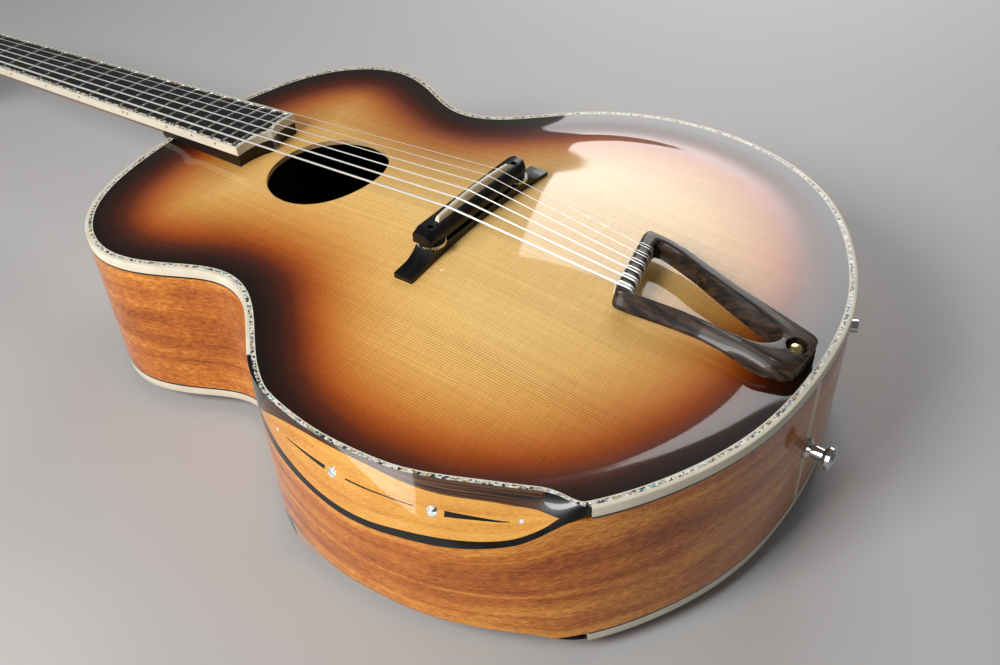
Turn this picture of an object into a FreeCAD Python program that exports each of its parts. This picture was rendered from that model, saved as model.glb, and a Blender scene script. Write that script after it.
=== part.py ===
import FreeCAD, Part
import Sketcher
import math
import os
from types import SimpleNamespace
from FreeCAD import Placement, Rotation, Vector

# Archtop guitar lying on its back. +Z points out of the soundboard, +Y along the neck,
# +X to the treble side. The origin lies on the centre line at the saddle, in the plane
# that the back rests on.

# Driving sizes in millimetres, degrees where the name says so
SIZES = dict(
    # Sound box
    body_length=517.0, saddle_to_tail=240.6, lower_bout=414.6, rim_depth=114.0,
    top_arch=14.5, top_crown_from_saddle=25.0, back_arch=13.0, back_crown_from_saddle=15.0,
    arch_seat=26.0, top_edge_thick=4.0, top_middle_thick=6.0, back_edge_thick=4.0,
    back_middle_thick=5.5, rest_flat_depth=0.05, side_thick=2.4, binding_high=6.5,
    binding_line_high=0.9, purfling_wide=2.2, purfling_deep=1.6, purfling_gap=0.15, inner_line_wide=0.7,
    hole_across=91.0, hole_along=85.0, hole_from_saddle=133.0,
    lining_wide=7.0, lining_high=14.0, neck_block_wide=92.0, neck_block_long=58.0,
    tail_block_wide=84.0, tail_block_long=28.0, tone_bar_wide=9.0, tone_bar_high=14.0,
    tone_bar_long=330.0, tone_bar_spread=84.0, tone_bar_lean_degrees=5.0,
    tone_bar_from_saddle=-30.0, tail_strip_wide=6.5,
    # Arm bevel on the top edge and rib bevel on the back edge, bass side
    arm_bevel_start=39.0, arm_bevel_end=-188.0, arm_bevel_inset=23.0, arm_bevel_drop=39.0,
    rib_bevel_start=20.0, rib_bevel_end=-188.0, rib_bevel_inset=15.0, rib_bevel_drop=22.0,
    bevel_veneer=2.4, bevel_seat_gap=0.3, bevel_core_wall=2.5, bevel_edging_wide=3.0,
    bevel_inlay_deep=1.2,
    bevel_dot_across=6.0, bevel_pip_across=2.4, bevel_line_wide=2.6, bevel_line_thin=0.5,
    # Neck, measured along the fingerboard from the saddle
    scale_length=635.0, neck_angle_degrees=4.05, board_over_edge=32.0, board_thick=6.5,
    board_end=188.0, board_end_scallop=5.4, nut_end_wide=45.5, joint_end_wide=59.0,
    board_camber=406.0, board_binding_wide=1.6, board_purfling_wide=1.5,
    board_purfling_deep=1.5, fret_wide=2.2, fret_high=1.1, fret_tang_deep=2.0,
    fret_tang_wide=0.6, fret_end_gap=0.4, fret_count=20, side_dot_across=2.0,
    side_dot_deep=1.0, side_dot_pair=6.0, riser_inset=0.6, nut_long=5.0, nut_over_board=1.85,
    shaft_deep_at_nut=14.5, shaft_deep_at_heel=18.0, shaft_end=268.0, heel_wide=53.0,
    heel_long=25.0, heel_cap_wide=24.0, heel_cap_long=9.0, heel_over_back=12.0,
    tenon_wide=38.0, tenon_long=30.0, tenon_over_back=30.0, tenon_under_top=8.0,
    rod_across=6.0, rod_depth=9.0, rod_start=292.0, rod_thread_across=3.6, rod_nut_across=7.0,
    rod_nut_long=13.0, rod_nut_room=1.2, rod_nut_fit=0.05, rod_pocket_wide=10.0,
    rod_pocket_start=2.0, rod_pocket_long=24.0, rod_pocket_deep=14.0, cover_wide=22.0,
    cover_long=42.0, cover_thick=2.0, cover_offset=1.0, cover_screw_aside=7.5,
    cover_screw_back=6.0, cover_screw_ahead=6.0,
    # Head and tuners
    head_angle_degrees=14.0, head_long=168.0, head_thick=15.0, head_plate_thick=2.2,
    head_wide=72.0, head_tip_wide=66.0, head_flare=44.0, head_tip_rise=7.0,
    tuner_first=42.0, tuner_pitch=40.0, post_spread=46.0, post_across=6.0, post_over_head=17.0,
    post_hole_across=1.8, post_hole_below_tip=3.5, post_fit=0.05, bushing_across=10.0,
    bushing_flange_across=13.0, bushing_flange_high=2.4, housing_wide=18.0, housing_long=21.0,
    housing_high=12.0, housing_edge=2.0, housing_ahead=12.0, housing_wall=1.6, housing_ear=2.0,
    housing_ear_long=6.5, housing_ear_wide=8.0, housing_room=0.4, bushing_sleeve=9.0,
    post_tip_bevel=0.8, gear_module=0.5, gear_teeth=16,
    gear_high=3.0, gear_mid_depth=6.6, worm_across=5.0, worm_long=7.6, worm_flank=0.48,
    gear_flank=0.56, gear_room=0.2, key_shaft_across=4.0, key_shaft_out=15.0,
    key_collar_across=6.5, key_collar_long=2.0, key_gap=0.3, button_long=19.0,
    button_wide=15.0, button_thick=8.0, button_edge=2.5, small_screw_across=2.2,
    small_screw_head=4.2, small_screw_long=9.0, small_screw_dome=1.2,
    # Bridge, heights above the plane of the top edge
    bridge_long=147.0, bridge_wide=14.0, bridge_tip_height=11.8, bridge_step=11.0,
    bridge_tongue=11.0, bridge_tongue_rise=1.2, bridge_base_height=19.5, bridge_post_spread=88.0,
    bridge_post_across=4.0, bridge_post_top=30.0, bridge_post_sunk=5.0, wheel_across=18.6,
    wheel_thick=2.2, wheel_gap=0.1, wheel_fit=0.06, wheel_notch=0.7, wheel_notches=36,
    bridge_top_long=104.0, bridge_top_wide=10.5, bridge_top_height=31.0, bridge_top_edge=3.0,
    saddle_long=75.0, saddle_wide=3.2, saddle_sunk=6.0, saddle_crown=300.0,
    # Strings
    gauge_1=0.33, gauge_2=0.43, gauge_3=0.66, gauge_4=0.91, gauge_5=1.17, gauge_6=1.42,
    nut_spread=37.0, saddle_spread=53.2, tail_spread=39.0, action_at_nut=1.5,
    action_at_saddle=5.0, string_seat=0.08, saddle_bend=8.0, wrap_step=2.4, wrap_room=0.2,
    winding_gap=0.9, winding_start=6.4,
    # Tailpiece, set on a slope that rises to the bridge
    tail_screw_from_saddle=-224.0, tail_over_edge=12.0, tail_slope_degrees=6.5,
    tail_thick=10.8, tail_rear=9.0, tail_rear_wide=30.0, tail_clip=4.0, tail_waist_wide=34.0,
    tail_front_bass=101.0, tail_front_treble=118.5, tail_front_wide=73.0, tail_bar=10.0,
    tail_leg=10.0, tail_eye=13.0, tail_eye_ahead=16.0, tail_corner=6.0, tail_window_corner=4.0, tail_edge=1.8,
    tail_bore=13.0, tail_bore_deep=4.0, tail_screw_head=10.0, tail_screw_dome=3.2,
    tail_screw_across=5.0, tail_screw_long=34.0, foot_wide=22.0, foot_long=17.0,
    # Rim hardware
    strap_below_top=60.0, strap_base_across=13.0, strap_neck_across=8.0, strap_flange_across=15.0,
    strap_long=17.0, strap_flange_thick=3.0, strap_base_thick=2.0, strap_screw_across=4.0,
    strap_screw_long=24.0, strap_gap=0.1, screw_fit=0.05, jack_below_top=57.0, jack_from_tail=26.0,
    jack_out=11.0, jack_in=22.0, jack_across=9.4, jack_flange_across=14.0,
    jack_flange_thick=2.0, jack_bore=6.4, pickup_across=20.0, pickup_thick=2.5,
    pickup_from_saddle=-34.0, pickup_aside=12.0, lead_across=3.0, lead_drop=22.0,
    # Every cut runs past its faces by this much
    overrun=40.0,
)

doc = FreeCAD.newDocument("archtop_guitar")
sheet = doc.addObject("Spreadsheet::Sheet", "sizes")
for row, (alias, amount) in enumerate(SIZES.items(), 1):
    sheet.set(f"A{row}", alias)
    sheet.set(f"B{row}", str(amount))
    sheet.setAlias(f"B{row}", alias)
doc.recompute()
d = SimpleNamespace(**{alias: float(sheet.get(alias)) for alias in SIZES})
nodes = []

UP = Vector(0, 0, 1)
ACROSS = Vector(1, 0, 0)
ALONG = Vector(0, 1, 0)


# Document helpers

def node(item, label):
    """Marks a document object as one named sub-part."""
    item.Label = label
    nodes.append(item)
    return item


def feature(label, shape):
    """A sub-part whose shape is worked out from the sizes in this script."""
    item = doc.addObject("Part::Feature", label)
    item.Shape = shape
    return node(item, label)


def primitive(kind, name, placement, **bindings):
    item = doc.addObject("Part::" + kind, name)
    for prop, formula in bindings.items():
        item.setExpression(prop, formula)
    item.Placement = placement
    return item


def combine(kind, name, base, tool):
    item = doc.addObject("Part::" + kind, name)
    item.Base = base
    item.Tool = tool
    return item


def group(label, items):
    item = doc.addObject("Part::Compound", label)
    item.Links = items
    return node(item, label)


def solid_tool(name, shape):
    """A shape that cuts or trims other objects and is not a sub-part itself."""
    item = doc.addObject("Part::Feature", name)
    item.Shape = shape
    return item


def bound_polygon(body, name, role, formulas):
    """Sketch of a closed polygon whose corners are bound to formulas in the sheet."""
    sketch = body.newObject("Sketcher::SketchObject", name)
    plane = [face for face in body.Origin.OriginFeatures if face.Role == role][0]
    sketch.AttachmentSupport = (plane, [""])
    sketch.MapMode = "FlatFace"
    corners = [Vector(*[float(sheet.evalExpression(f)) for f in pair], 0) for pair in formulas]
    count = len(corners)
    for index, corner in enumerate(corners):
        sketch.addGeometry(Part.LineSegment(corner, corners[(index + 1) % count]), False)
    for index in range(count):
        follower = (index + 1) % count
        sketch.addConstraint(Sketcher.Constraint("Coincident", index, 2, follower, 1))
    for index, (pair, corner) in enumerate(zip(formulas, corners)):
        for kind, formula, place in zip(("DistanceX", "DistanceY"), pair, corner[:2]):
            number = sketch.addConstraint(Sketcher.Constraint(kind, -1, 1, index, 1, place))
            sketch.setExpression(f"Constraints[{number}]", formula)
    return sketch


def turned(name, profile, placement):
    """A body turned about its own Z axis from (radius, height) formulas."""
    body = doc.addObject("PartDesign::Body", name)
    sketch = bound_polygon(body, name + "_profile", "XZ_Plane", profile)
    spin = body.newObject("PartDesign::Revolution", name + "_turn")
    spin.Profile = sketch
    spin.ReferenceAxis = (sketch, ["V_Axis"])
    body.Placement = placement
    return body


def padded(name, outline, depth):
    """A body padded upwards from an outline of (x, y) formulas."""
    body = doc.addObject("PartDesign::Body", name)
    pad = body.newObject("PartDesign::Pad", name + "_pad")
    pad.Profile = bound_polygon(body, name + "_outline", "XY_Plane", outline)
    pad.setExpression("Length", depth)
    return body


# Shape helpers

def box(low, high):
    size = high - low
    return Part.makeBox(size.x, size.y, size.z, low)


def rod(radius, start, end):
    run = end - start
    return Part.makeCylinder(radius, run.Length, start, run)


def prism(edges, low, high):
    face = Part.Face(Part.Wire(edges))
    face.translate(UP * low)
    return face.extrude(UP * (high - low))


def polygon_edges(points):
    return Part.makePolygon(list(points) + [points[0]]).Edges


def joined(solids):
    whole = solids[0]
    for solid in solids[1:]:
        whole = whole.fuse(solid)
    return whole.removeSplitter()


def cut_all(shape, tools):
    return shape.cut(list(tools))


def solids_of(shape):
    """The shape as one solid, or as a compound of its separate solids."""
    solids = shape.Solids
    return solids[0] if len(solids) == 1 else Part.makeCompound(solids)


def largest(shape):
    """The main solid of a cut, without the slivers that it leaves."""
    return max(shape.Solids, key=lambda solid: solid.Volume)


def smooth_share(points, share):
    """Value of a hand-drawn curve of (share, height share) points, eased between them."""
    for (left, low), (right, high) in zip(points, points[1:]):
        if share <= right:
            step = (share - left) / (right - left)
            return low + (high - low) * step
    return points[-1][1]


# Outline of the sound box

half_bout = d.lower_bout / 2
tail_end = -d.saddle_to_tail
neck_end = d.body_length - d.saddle_to_tail
back_edge = d.back_arch - d.rest_flat_depth
top_edge = back_edge + d.rim_depth

# Half outline from tail to neck: shares of the half bout and of the body length
outline_shares = [
    (0.0, 0.0), (0.275, 0.010), (0.584, 0.0588), (0.804, 0.127), (0.950, 0.2245), (1.0, 0.343),
    (0.964, 0.4343), (0.846, 0.527), (0.699, 0.595), (0.622, 0.647), (0.6125, 0.674),
    (0.668, 0.739), (0.738, 0.813), (0.742, 0.8405), (0.677, 0.909), (0.5065, 0.963),
    (0.285, 0.989), (0.0, 1.0)]


def outline_point(across, along, side):
    return Vector(side * across * half_bout, tail_end + along * d.body_length, 0)


treble_run = [outline_point(a, b, 1) for a, b in outline_shares]
bass_run = [outline_point(a, b, -1) for a, b in reversed(outline_shares[1:-1])]
outline = Part.BSplineCurve()
outline.interpolate(Points=treble_run + bass_run, PeriodicFlag=True)
rim_start, rim_end = outline.FirstParameter, outline.LastParameter
rim_middle = outline.parameter(treble_run[-1])


def inward(place):
    """Unit vector that points into the body at a place on the outline."""
    run = outline.tangent(place)[0]
    return Vector(-run.y, run.x, 0)


def rim_place(station, side):
    """Place on the outline at a distance along the body, on the treble (+1) or bass (-1) side."""
    low, high = (rim_start, rim_middle) if side > 0 else (rim_end, rim_middle)
    for _ in range(search_steps):
        middle = (low + high) / 2
        if outline.value(middle).y < station:
            low = middle
        else:
            high = middle
    return (low + high) / 2


search_steps = 40
rim_samples, bevel_samples, end_samples = 48, 30, 8


def spread(start, end, count):
    return [start + (end - start) * index / count for index in range(count)]


def closed_curve(points):
    curve = Part.BSplineCurve()
    curve.interpolate(Points=points, PeriodicFlag=True)
    return curve.toShape()


def inset_edge(inset):
    places = spread(rim_start, rim_end, rim_samples)
    return closed_curve([outline.value(p) + inward(p) * inset for p in places])


def rim_edge(inset):
    return inset_edge(inset) if inset else outline.toShape()


def rim_prism(inset, low, high):
    return prism([rim_edge(inset)], low, high)


def ring_prism(outer, inner, low, high):
    """A flat ring between two closed edges."""
    face = Part.makeFace([Part.Wire([outer]), Part.Wire([inner])], "Part::FaceMakerBullseye")
    face.translate(UP * low)
    return face.extrude(UP * (high - low))


def rim_ring(outer, inner, low, high):
    return ring_prism(rim_edge(outer), rim_edge(inner), low, high)


# Arched surfaces of the plates

half_widths = [(outline.value(p).y, outline.value(p).x)
               for p in spread(rim_start, rim_middle, rim_samples * 2)]


def half_width(station):
    for (low, near), (high, far) in zip(half_widths, half_widths[1:]):
        if low <= station <= high:
            return near + (far - near) * (station - low) / (high - low)
    return 0.0


def crown(x, y, centre):
    """Arch of a plate from 0 at its seat to 1 at its crown: a raised cosine both ways."""
    half = half_width(y) - d.arch_seat
    reach = neck_end - d.arch_seat - centre if y > centre else centre - tail_end - d.arch_seat
    if half <= 0 or abs(y - centre) >= reach or abs(x) >= half:
        return 0.0
    cross = math.cos(math.pi / 2 * x / half)
    length = math.cos(math.pi / 2 * (y - centre) / reach)
    return (cross * length) ** 2


def top_rise(x, y):
    return d.top_arch * crown(x, y, -d.top_crown_from_saddle)


# The back flattens out over its middle, where it rests
back_flat_share = 0.55


def back_rise(x, y):
    share = min(crown(x, y, d.back_crown_from_saddle) / back_flat_share, 1.0)
    return d.back_arch * share * share * (3 - 2 * share)


surface_columns, surface_rows = 18, 22


def arched_face(height):
    """Smooth face over the whole body whose height is a function of x and y."""
    margin = d.overrun / 2
    rows = []
    for column in range(surface_columns + 1):
        x = (half_bout + margin) * (2 * column / surface_columns - 1)
        row = []
        for step in range(surface_rows + 1):
            y = tail_end - margin + (d.body_length + 2 * margin) * step / surface_rows
            row.append(Vector(x, y, height(x, y)))
        rows.append(row)
    surface = Part.BSplineSurface()
    surface.interpolate(rows)
    return surface.toShape()


def block_over(face):
    return face.extrude(UP * d.overrun)


def block_under(face):
    return face.extrude(UP * -d.overrun)


def thinning(x, y, centre, edge_thick, middle_thick):
    return edge_thick + (middle_thick - edge_thick) * crown(x, y, centre)


def top_inner_height(x, y):
    thick = thinning(x, y, -d.top_crown_from_saddle, d.top_edge_thick, d.top_middle_thick)
    return top_edge + top_rise(x, y) - thick


def back_inner_height(x, y):
    thick = thinning(x, y, d.back_crown_from_saddle, d.back_edge_thick, d.back_middle_thick)
    return back_edge - back_rise(x, y) + thick


top_face = arched_face(lambda x, y: top_edge + top_rise(x, y))
top_inner = arched_face(top_inner_height)
back_face = arched_face(lambda x, y: back_edge - back_rise(x, y))
back_inner = arched_face(back_inner_height)
under_top, over_top = block_under(top_face), block_over(top_face)
over_top_inner, under_back_inner = block_over(top_inner), block_under(back_inner)

# Bevels

# Inset and drop along a bevel from its waist end to its tail end, as shares of the largest
bevel_inset_shares = [(0.0, 0.02), (0.10, 0.11), (0.22, 0.37), (0.45, 0.78), (0.62, 0.95),
                      (0.74, 1.0), (0.85, 0.88), (0.93, 0.52), (0.975, 0.2), (1.0, 0.02)]
bevel_drop_shares = [(0.0, 0.14), (0.05, 0.45), (0.16, 0.80), (0.30, 0.95), (0.48, 1.0),
                     (0.64, 0.90), (0.78, 0.71), (0.88, 0.42), (0.94, 0.2), (1.0, 0.14)]
bevel_stations = [0.0, 0.04, 0.1, 0.18, 0.28, 0.4, 0.52, 0.64, 0.74, 0.82, 0.88, 0.93, 0.97, 1.0]
bevel_bulge_share = 0.17
across_shares = (0, 0.5, 1)
bevel_field_shares = (0.115, 0.885)


class Bevel:
    """A carved bevel on the bass side, between a line on a plate and a line on the side."""

    def __init__(self, start, end, inset, drop, edge, up, rise):
        self.start, self.end = rim_place(start, -1), rim_place(end, -1)
        self.inset, self.drop, self.edge, self.up, self.rise = inset, drop, edge, up, rise

    def place(self, share):
        return self.start + (self.end - self.start) * share

    def inset_at(self, share):
        return self.inset * smooth_share(bevel_inset_shares, share)

    def drop_at(self, share):
        return self.drop * smooth_share(bevel_drop_shares, share)

    def arc(self, share):
        """Arc across the bevel, from the plate's edge to the side."""
        rim, into = outline.value(self.place(share)), inward(self.place(share))
        inner = rim + into * self.inset_at(share)
        inner.z = self.edge + self.up * self.rise(inner.x, inner.y)
        outer = Vector(rim.x, rim.y, self.edge - self.up * self.drop_at(share))
        out = Vector(-into.x, -into.y, self.up * self.inset_at(share) / self.drop_at(share))
        bulge = out.normalize() * self.inset_at(share) * bevel_bulge_share
        return Part.Arc(inner, (inner + outer) / 2 + bulge, outer).toShape()

    def point(self, share, across, depth):
        arc = self.arc(share)
        first, last = arc.FirstParameter, arc.LastParameter
        skin = arc.valueAt(first + (last - first) * across)
        return skin + (arc.Curve.Center - skin).normalize() * depth

    def strip(self, share, near, far, high, low):
        """Section of a strip of the bevel, between two depths under its skin."""
        middle = (near + far) / 2
        skin = [self.point(share, across, high) for across in (near, middle, far)]
        bed = [self.point(share, across, low) for across in (far, middle, near)]
        return Part.Wire([Part.Arc(*skin).toShape(), Part.makeLine(skin[2], bed[0]),
                          Part.Arc(*bed).toShape(), Part.makeLine(bed[2], skin[0])])

    def loft(self, shares, near, far, high, low):
        """Strip of the bevel along its length; near and far are functions of the share."""
        sections = [self.strip(s, near(s), far(s), high, low) for s in shares]
        return Part.makeLoft(sections, True, False)

    def heel(self, share):
        """Inner corner of the core, behind the plate's edge and below the bevel."""
        rim, into = outline.value(self.place(share)), inward(self.place(share))
        corner = rim + into * (self.inset_at(share) + d.bevel_core_wall)
        corner.z = self.edge - self.up * (self.drop_at(share) + d.bevel_core_wall)
        return corner

    def core_section(self, share):
        bed = [self.point(share, across, d.bevel_veneer) for across in across_shares]
        heel = self.heel(share)
        return Part.Wire([Part.Arc(*bed).toShape(), Part.makeLine(bed[2], heel),
                          Part.makeLine(heel, bed[0])])

    def core(self):
        return Part.makeLoft([self.core_section(s) for s in bevel_stations], True, False)

    def cutter_section(self, share):
        into = inward(self.place(share))
        inner, outer = self.point(share, 0, 0), self.point(share, 1, 0)
        corners = [inner, self.point(share, 0, d.bevel_veneer), self.heel(share),
                   self.point(share, 1, d.bevel_veneer), outer, outer - into * d.overrun]
        corners.append(corners[-1] + UP * self.up * (d.overrun + self.drop_at(share)))
        corners.append(inner + UP * self.up * d.overrun)
        return Part.Wire(polygon_edges(corners))

    def cutter(self):
        """Everything that the bevel takes the place of, and the air outside it."""
        return Part.makeLoft([self.cutter_section(s) for s in bevel_stations], True, False)


arm = Bevel(d.arm_bevel_start, d.arm_bevel_end, d.arm_bevel_inset, d.arm_bevel_drop,
            top_edge, 1, top_rise)
rib = Bevel(d.rib_bevel_start, d.rib_bevel_end, d.rib_bevel_inset, d.rib_bevel_drop,
            back_edge, -1, back_rise)
arm_cutter, rib_cutter = arm.cutter(), rib.cutter()


def edging_share(bevel, share):
    """Where the black edging begins, as a share of the way across the bevel."""
    return 1 - min(d.bevel_edging_wide / bevel.arc(share).Length, 1 - far_share)


far_share = 0.55
band_shares = (0.13, 0.38)


def band_share(share):
    return band_shares[0] + (band_shares[1] - band_shares[0]) * share


def seat_share(bevel, share):
    """Room between the bevel's strips and the plate or the side, as a share of the way across."""
    return d.bevel_seat_gap / bevel.arc(share).Length


def build_bevels():
    first, last = bevel_field_shares
    deep = d.bevel_veneer - d.bevel_seat_gap
    inner = [first] + [s for s in bevel_stations if first < s < last] + [last]
    ends = ([s for s in bevel_stations if s < first] + [first],
            [last] + [s for s in bevel_stations if s > last])
    feature("bevel_cores", Part.makeCompound([solids_of(arm.core().cut(purfling)), rib.core()]))
    band = arm.loft(inner, lambda s: seat_share(arm, s), band_share, 0, deep)
    feature("arm_bevel_band", largest(band.cut(purfling)))
    fields, edging = [], []
    for bevel in (arm, rib):
        upper = lambda s, bevel=bevel: seat_share(bevel, s)
        lower = lambda s, bevel=bevel: edging_share(bevel, s)
        outer = lambda s, bevel=bevel: 1 - seat_share(bevel, s)
        fields.append(bevel.loft(inner, band_share if bevel is arm else upper, lower, 0, deep))
        edging.append(bevel.loft(inner, lower, outer, 0, deep))
        edging += [bevel.loft(tips, upper, outer, 0, deep) for tips in ends]
    field, rib_field = fields
    # Tapered lines and shell dots lie on one curve along the middle of the field
    lines = [bevel_line(field, *ends_) for ends_ in bevel_line_shares]
    dots = [bevel_dot(field, share, across) for share, across in
            [(s, d.bevel_dot_across) for s in bevel_dot_shares]
            + [(s, d.bevel_pip_across) for s in bevel_pip_shares]]
    feature("arm_bevel_lines", Part.makeCompound(lines))
    feature("arm_bevel_dots", Part.makeCompound(dots))
    feature("bevel_fields", Part.makeCompound([cut_all(field, lines + dots), rib_field]))
    feature("bevel_edging", Part.makeCompound([largest(strip.cut(purfling)) for strip in edging]))


# Along the bevel: dots, pips, and lines that taper from a thick to a thin end
bevel_dot_shares = (0.405, 0.655)
bevel_pip_shares = (0.205, 0.845)
bevel_line_shares = ((0.38, 0.235), (0.44, 0.62), (0.69, 0.82))
inlay_middle_share = 0.56


def bevel_line(field, thick_end, thin_end):
    low, high = min(thick_end, thin_end), max(thick_end, thin_end)
    steps = [low, (low + high) / 2, high]

    def width(share):
        taper = abs(share - thin_end) / abs(thick_end - thin_end)
        return (d.bevel_line_thin + (d.bevel_line_wide - d.bevel_line_thin) * taper) / 2

    def near(share):
        return inlay_middle_share - width(share) / arm.arc(share).Length

    def far(share):
        return inlay_middle_share + width(share) / arm.arc(share).Length

    return solids_of(arm.loft(steps, near, far, -d.bevel_inlay_deep, d.bevel_inlay_deep).common(field))


def bevel_dot(field, share, across):
    top = arm.point(share, inlay_middle_share, -d.bevel_inlay_deep)
    bed = arm.point(share, inlay_middle_share, d.bevel_inlay_deep)
    return solids_of(rod(across / 2, bed, top).common(field))


# Sound box

binding_deep = d.binding_high + d.binding_line_high
side_low, side_high = back_edge + binding_deep, top_edge - binding_deep
tail_frame = Placement(Vector(0, d.tail_screw_from_saddle, top_edge + d.tail_over_edge),
                       Rotation(ACROSS, d.tail_slope_degrees))


def half_space(side):
    reach = d.body_length
    low = Vector(0 if side > 0 else -reach, -reach, -reach)
    return box(low, low + Vector(reach, 2 * reach, 2 * reach))


def centre_slab(width):
    reach = d.body_length
    return box(Vector(-width / 2, -reach, -reach), Vector(width / 2, 0, reach))


def purfling_edge(extra):
    """Edge of the soundboard: inside the binding, and along the inner line of the arm bevel."""
    before = spread(rim_start, arm.start, rim_samples)
    along = spread(arm.start, arm.end, bevel_samples)
    after = spread(arm.end, rim_end, end_samples)
    points = []
    for p in before + along + after:
        share = (p - arm.start) / (arm.end - arm.start)
        inset = arm.inset_at(share) if 0 < share < 1 else 0
        points.append(outline.value(p) + inward(p) * (max(inset, d.side_thick) + extra))
    return closed_curve(points)


def inlaid_ring(outer, inner):
    """A strip let into the flat border of the soundboard."""
    return ring_prism(purfling_edge(outer), purfling_edge(inner), top_edge - d.purfling_deep, top_edge)


inlay_wide = d.purfling_wide + d.inner_line_wide
purfling = inlaid_ring(d.purfling_gap, d.purfling_wide)
purfling = purfling.common(rim_prism(d.side_thick + d.purfling_gap / 2, back_edge, top_edge + d.overrun))
inner_line = inlaid_ring(d.purfling_wide, inlay_wide)
tenon = box(Vector(-d.tenon_wide / 2, neck_end - d.tenon_long, back_edge + d.tenon_over_back),
            Vector(d.tenon_wide / 2, neck_end + d.heel_long / 2, top_edge - d.tenon_under_top))
strap_height = top_edge - d.strap_below_top
strap_hole = rod(d.strap_screw_across / 2 + d.screw_fit, Vector(0, tail_end - d.overrun, strap_height),
                 Vector(0, tail_end + d.strap_screw_long, strap_height))
tail_screw_hole = rod(d.tail_screw_across / 2 + d.screw_fit, tail_frame.multVec(UP * -d.overrun),
                      tail_frame.multVec(UP * d.overrun))
hole = Part.Ellipse(Vector(), max(d.hole_across, d.hole_along) / 2,
                    min(d.hole_across, d.hole_along) / 2).toShape()
sound_hole = prism([hole], top_edge - d.overrun, top_edge + d.overrun)
if d.hole_along > d.hole_across:
    sound_hole.rotate(Vector(), UP, 90)
sound_hole.translate(ALONG * d.hole_from_saddle)

# The output jack stands square to the rim on the treble side of the tail
jack_place = rim_place(tail_end + d.jack_from_tail, 1)
jack_foot = outline.value(jack_place) + UP * (top_edge - d.jack_below_top)
jack_out = inward(jack_place) * -1
jack_hole = rod(d.jack_across / 2, jack_foot - jack_out * d.jack_in, jack_foot + jack_out * d.overrun)


def build_box():
    rebate = ring_prism(rim_edge(0), purfling_edge(inlay_wide), top_edge - d.purfling_deep,
                        top_edge + d.overrun)
    plate = rim_prism(d.side_thick, top_edge - d.overrun, top_edge + d.overrun)
    plate = plate.common(over_top_inner).cut(over_top)
    plate = cut_all(plate.cut(rebate).cut(arm_cutter), [sound_hole, tail_screw_hole])
    feature("top_plate", solids_of(plate))
    feature("top_purfling", solids_of(purfling))
    back = rim_prism(d.side_thick, -d.overrun, back_edge + d.overrun)
    back = back.common(under_back_inner).cut(block_under(back_face))
    flat = box(Vector(-half_bout, tail_end, -d.overrun), Vector(half_bout, neck_end, 0))
    back = cut_all(back, [flat, rib_cutter])
    feature("back_plate", solids_of(back))
    ring = rim_ring(0, d.side_thick, side_low, side_high)
    strip = centre_slab(d.tail_strip_wide)
    for label, side, extra in (("bass_side", -1, [arm_cutter, rib_cutter]),
                               ("treble_side", 1, [jack_hole])):
        half = cut_all(ring.common(half_space(side)), [strip, tenon] + extra)
        feature(label, solids_of(half))
    feature("tail_strip", solids_of(ring.common(strip).cut(strap_hole)))
    top_binding = rim_ring(0, d.side_thick, top_edge - d.binding_high, top_edge).cut(arm_cutter)
    feature("top_binding", Part.makeCompound(top_binding.Solids + inner_line.Solids))
    back_binding = rim_ring(0, d.side_thick, back_edge, back_edge + d.binding_high).cut(rib_cutter)
    feature("back_binding", solids_of(back_binding))
    lines = [rim_ring(0, d.side_thick, side_high, side_high + d.binding_line_high).cut(arm_cutter),
             rim_ring(0, d.side_thick, side_low - d.binding_line_high, side_low).cut(rib_cutter)]
    feature("binding_lines", Part.makeCompound([s for ring in lines for s in ring.Solids]))


def build_frame():
    """Blocks, linings and tone bars inside the box."""
    trim = solid_tool("inside_of_rim", rim_prism(d.side_thick, 0, top_edge + d.top_arch))
    blanks = []
    for label, wide, long, at in (
            ("neck_block", "neck_block_wide", "neck_block_long", neck_end - d.neck_block_long),
            ("tail_block", "tail_block_wide", "tail_block_long", tail_end)):
        low = Placement(Vector(-getattr(d, wide) / 2, at, 0), Rotation())
        blank = primitive("Box", label + "_blank", low, Length="sizes." + wide,
                          Width="sizes." + long, Height="sizes.rim_depth + 2 * sizes.back_arch")
        fitted = combine("Common", label + "_fitted", blank, trim)
        holes = [tenon] if label == "neck_block" else [strap_hole, tail_screw_hole]
        seats = solid_tool(label + "_seats", Part.makeCompound(holes + [over_top_inner, under_back_inner]))
        node(combine("Cut", label, fitted, seats), label)
        blanks.append(blank)
    doc.recompute()
    inner = d.side_thick + d.lining_wide
    strips = []
    for low, cutter in ((top_edge - d.top_edge_thick - d.lining_high, arm_cutter),
                        (back_edge + d.back_edge_thick, rib_cutter)):
        ring = rim_ring(d.side_thick, inner, low, low + d.lining_high)
        strips += cut_all(ring, [blank.Shape for blank in blanks] + [cutter, jack_hole]).Solids
    feature("linings", Part.makeCompound(strips))
    bars = []
    lowered = top_inner.copy()
    lowered.translate(UP * -d.tone_bar_high)
    for side in (-1, 1):
        bar = Part.makeBox(d.tone_bar_wide, d.tone_bar_long, d.rim_depth,
                           Vector(-d.tone_bar_wide / 2, -d.tone_bar_long / 2, 0))
        bar.rotate(Vector(), UP, side * d.tone_bar_lean_degrees)
        bar.translate(Vector(side * d.tone_bar_spread / 2, d.tone_bar_from_saddle, back_edge + d.top_arch))
        bars += cut_all(bar.common(block_over(lowered)), [over_top_inner, sound_hole]).Solids
    feature("tone_bars", Part.makeCompound(bars))


# Neck, drawn in its own frame: y along the fingerboard from the saddle, z out of its face

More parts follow.
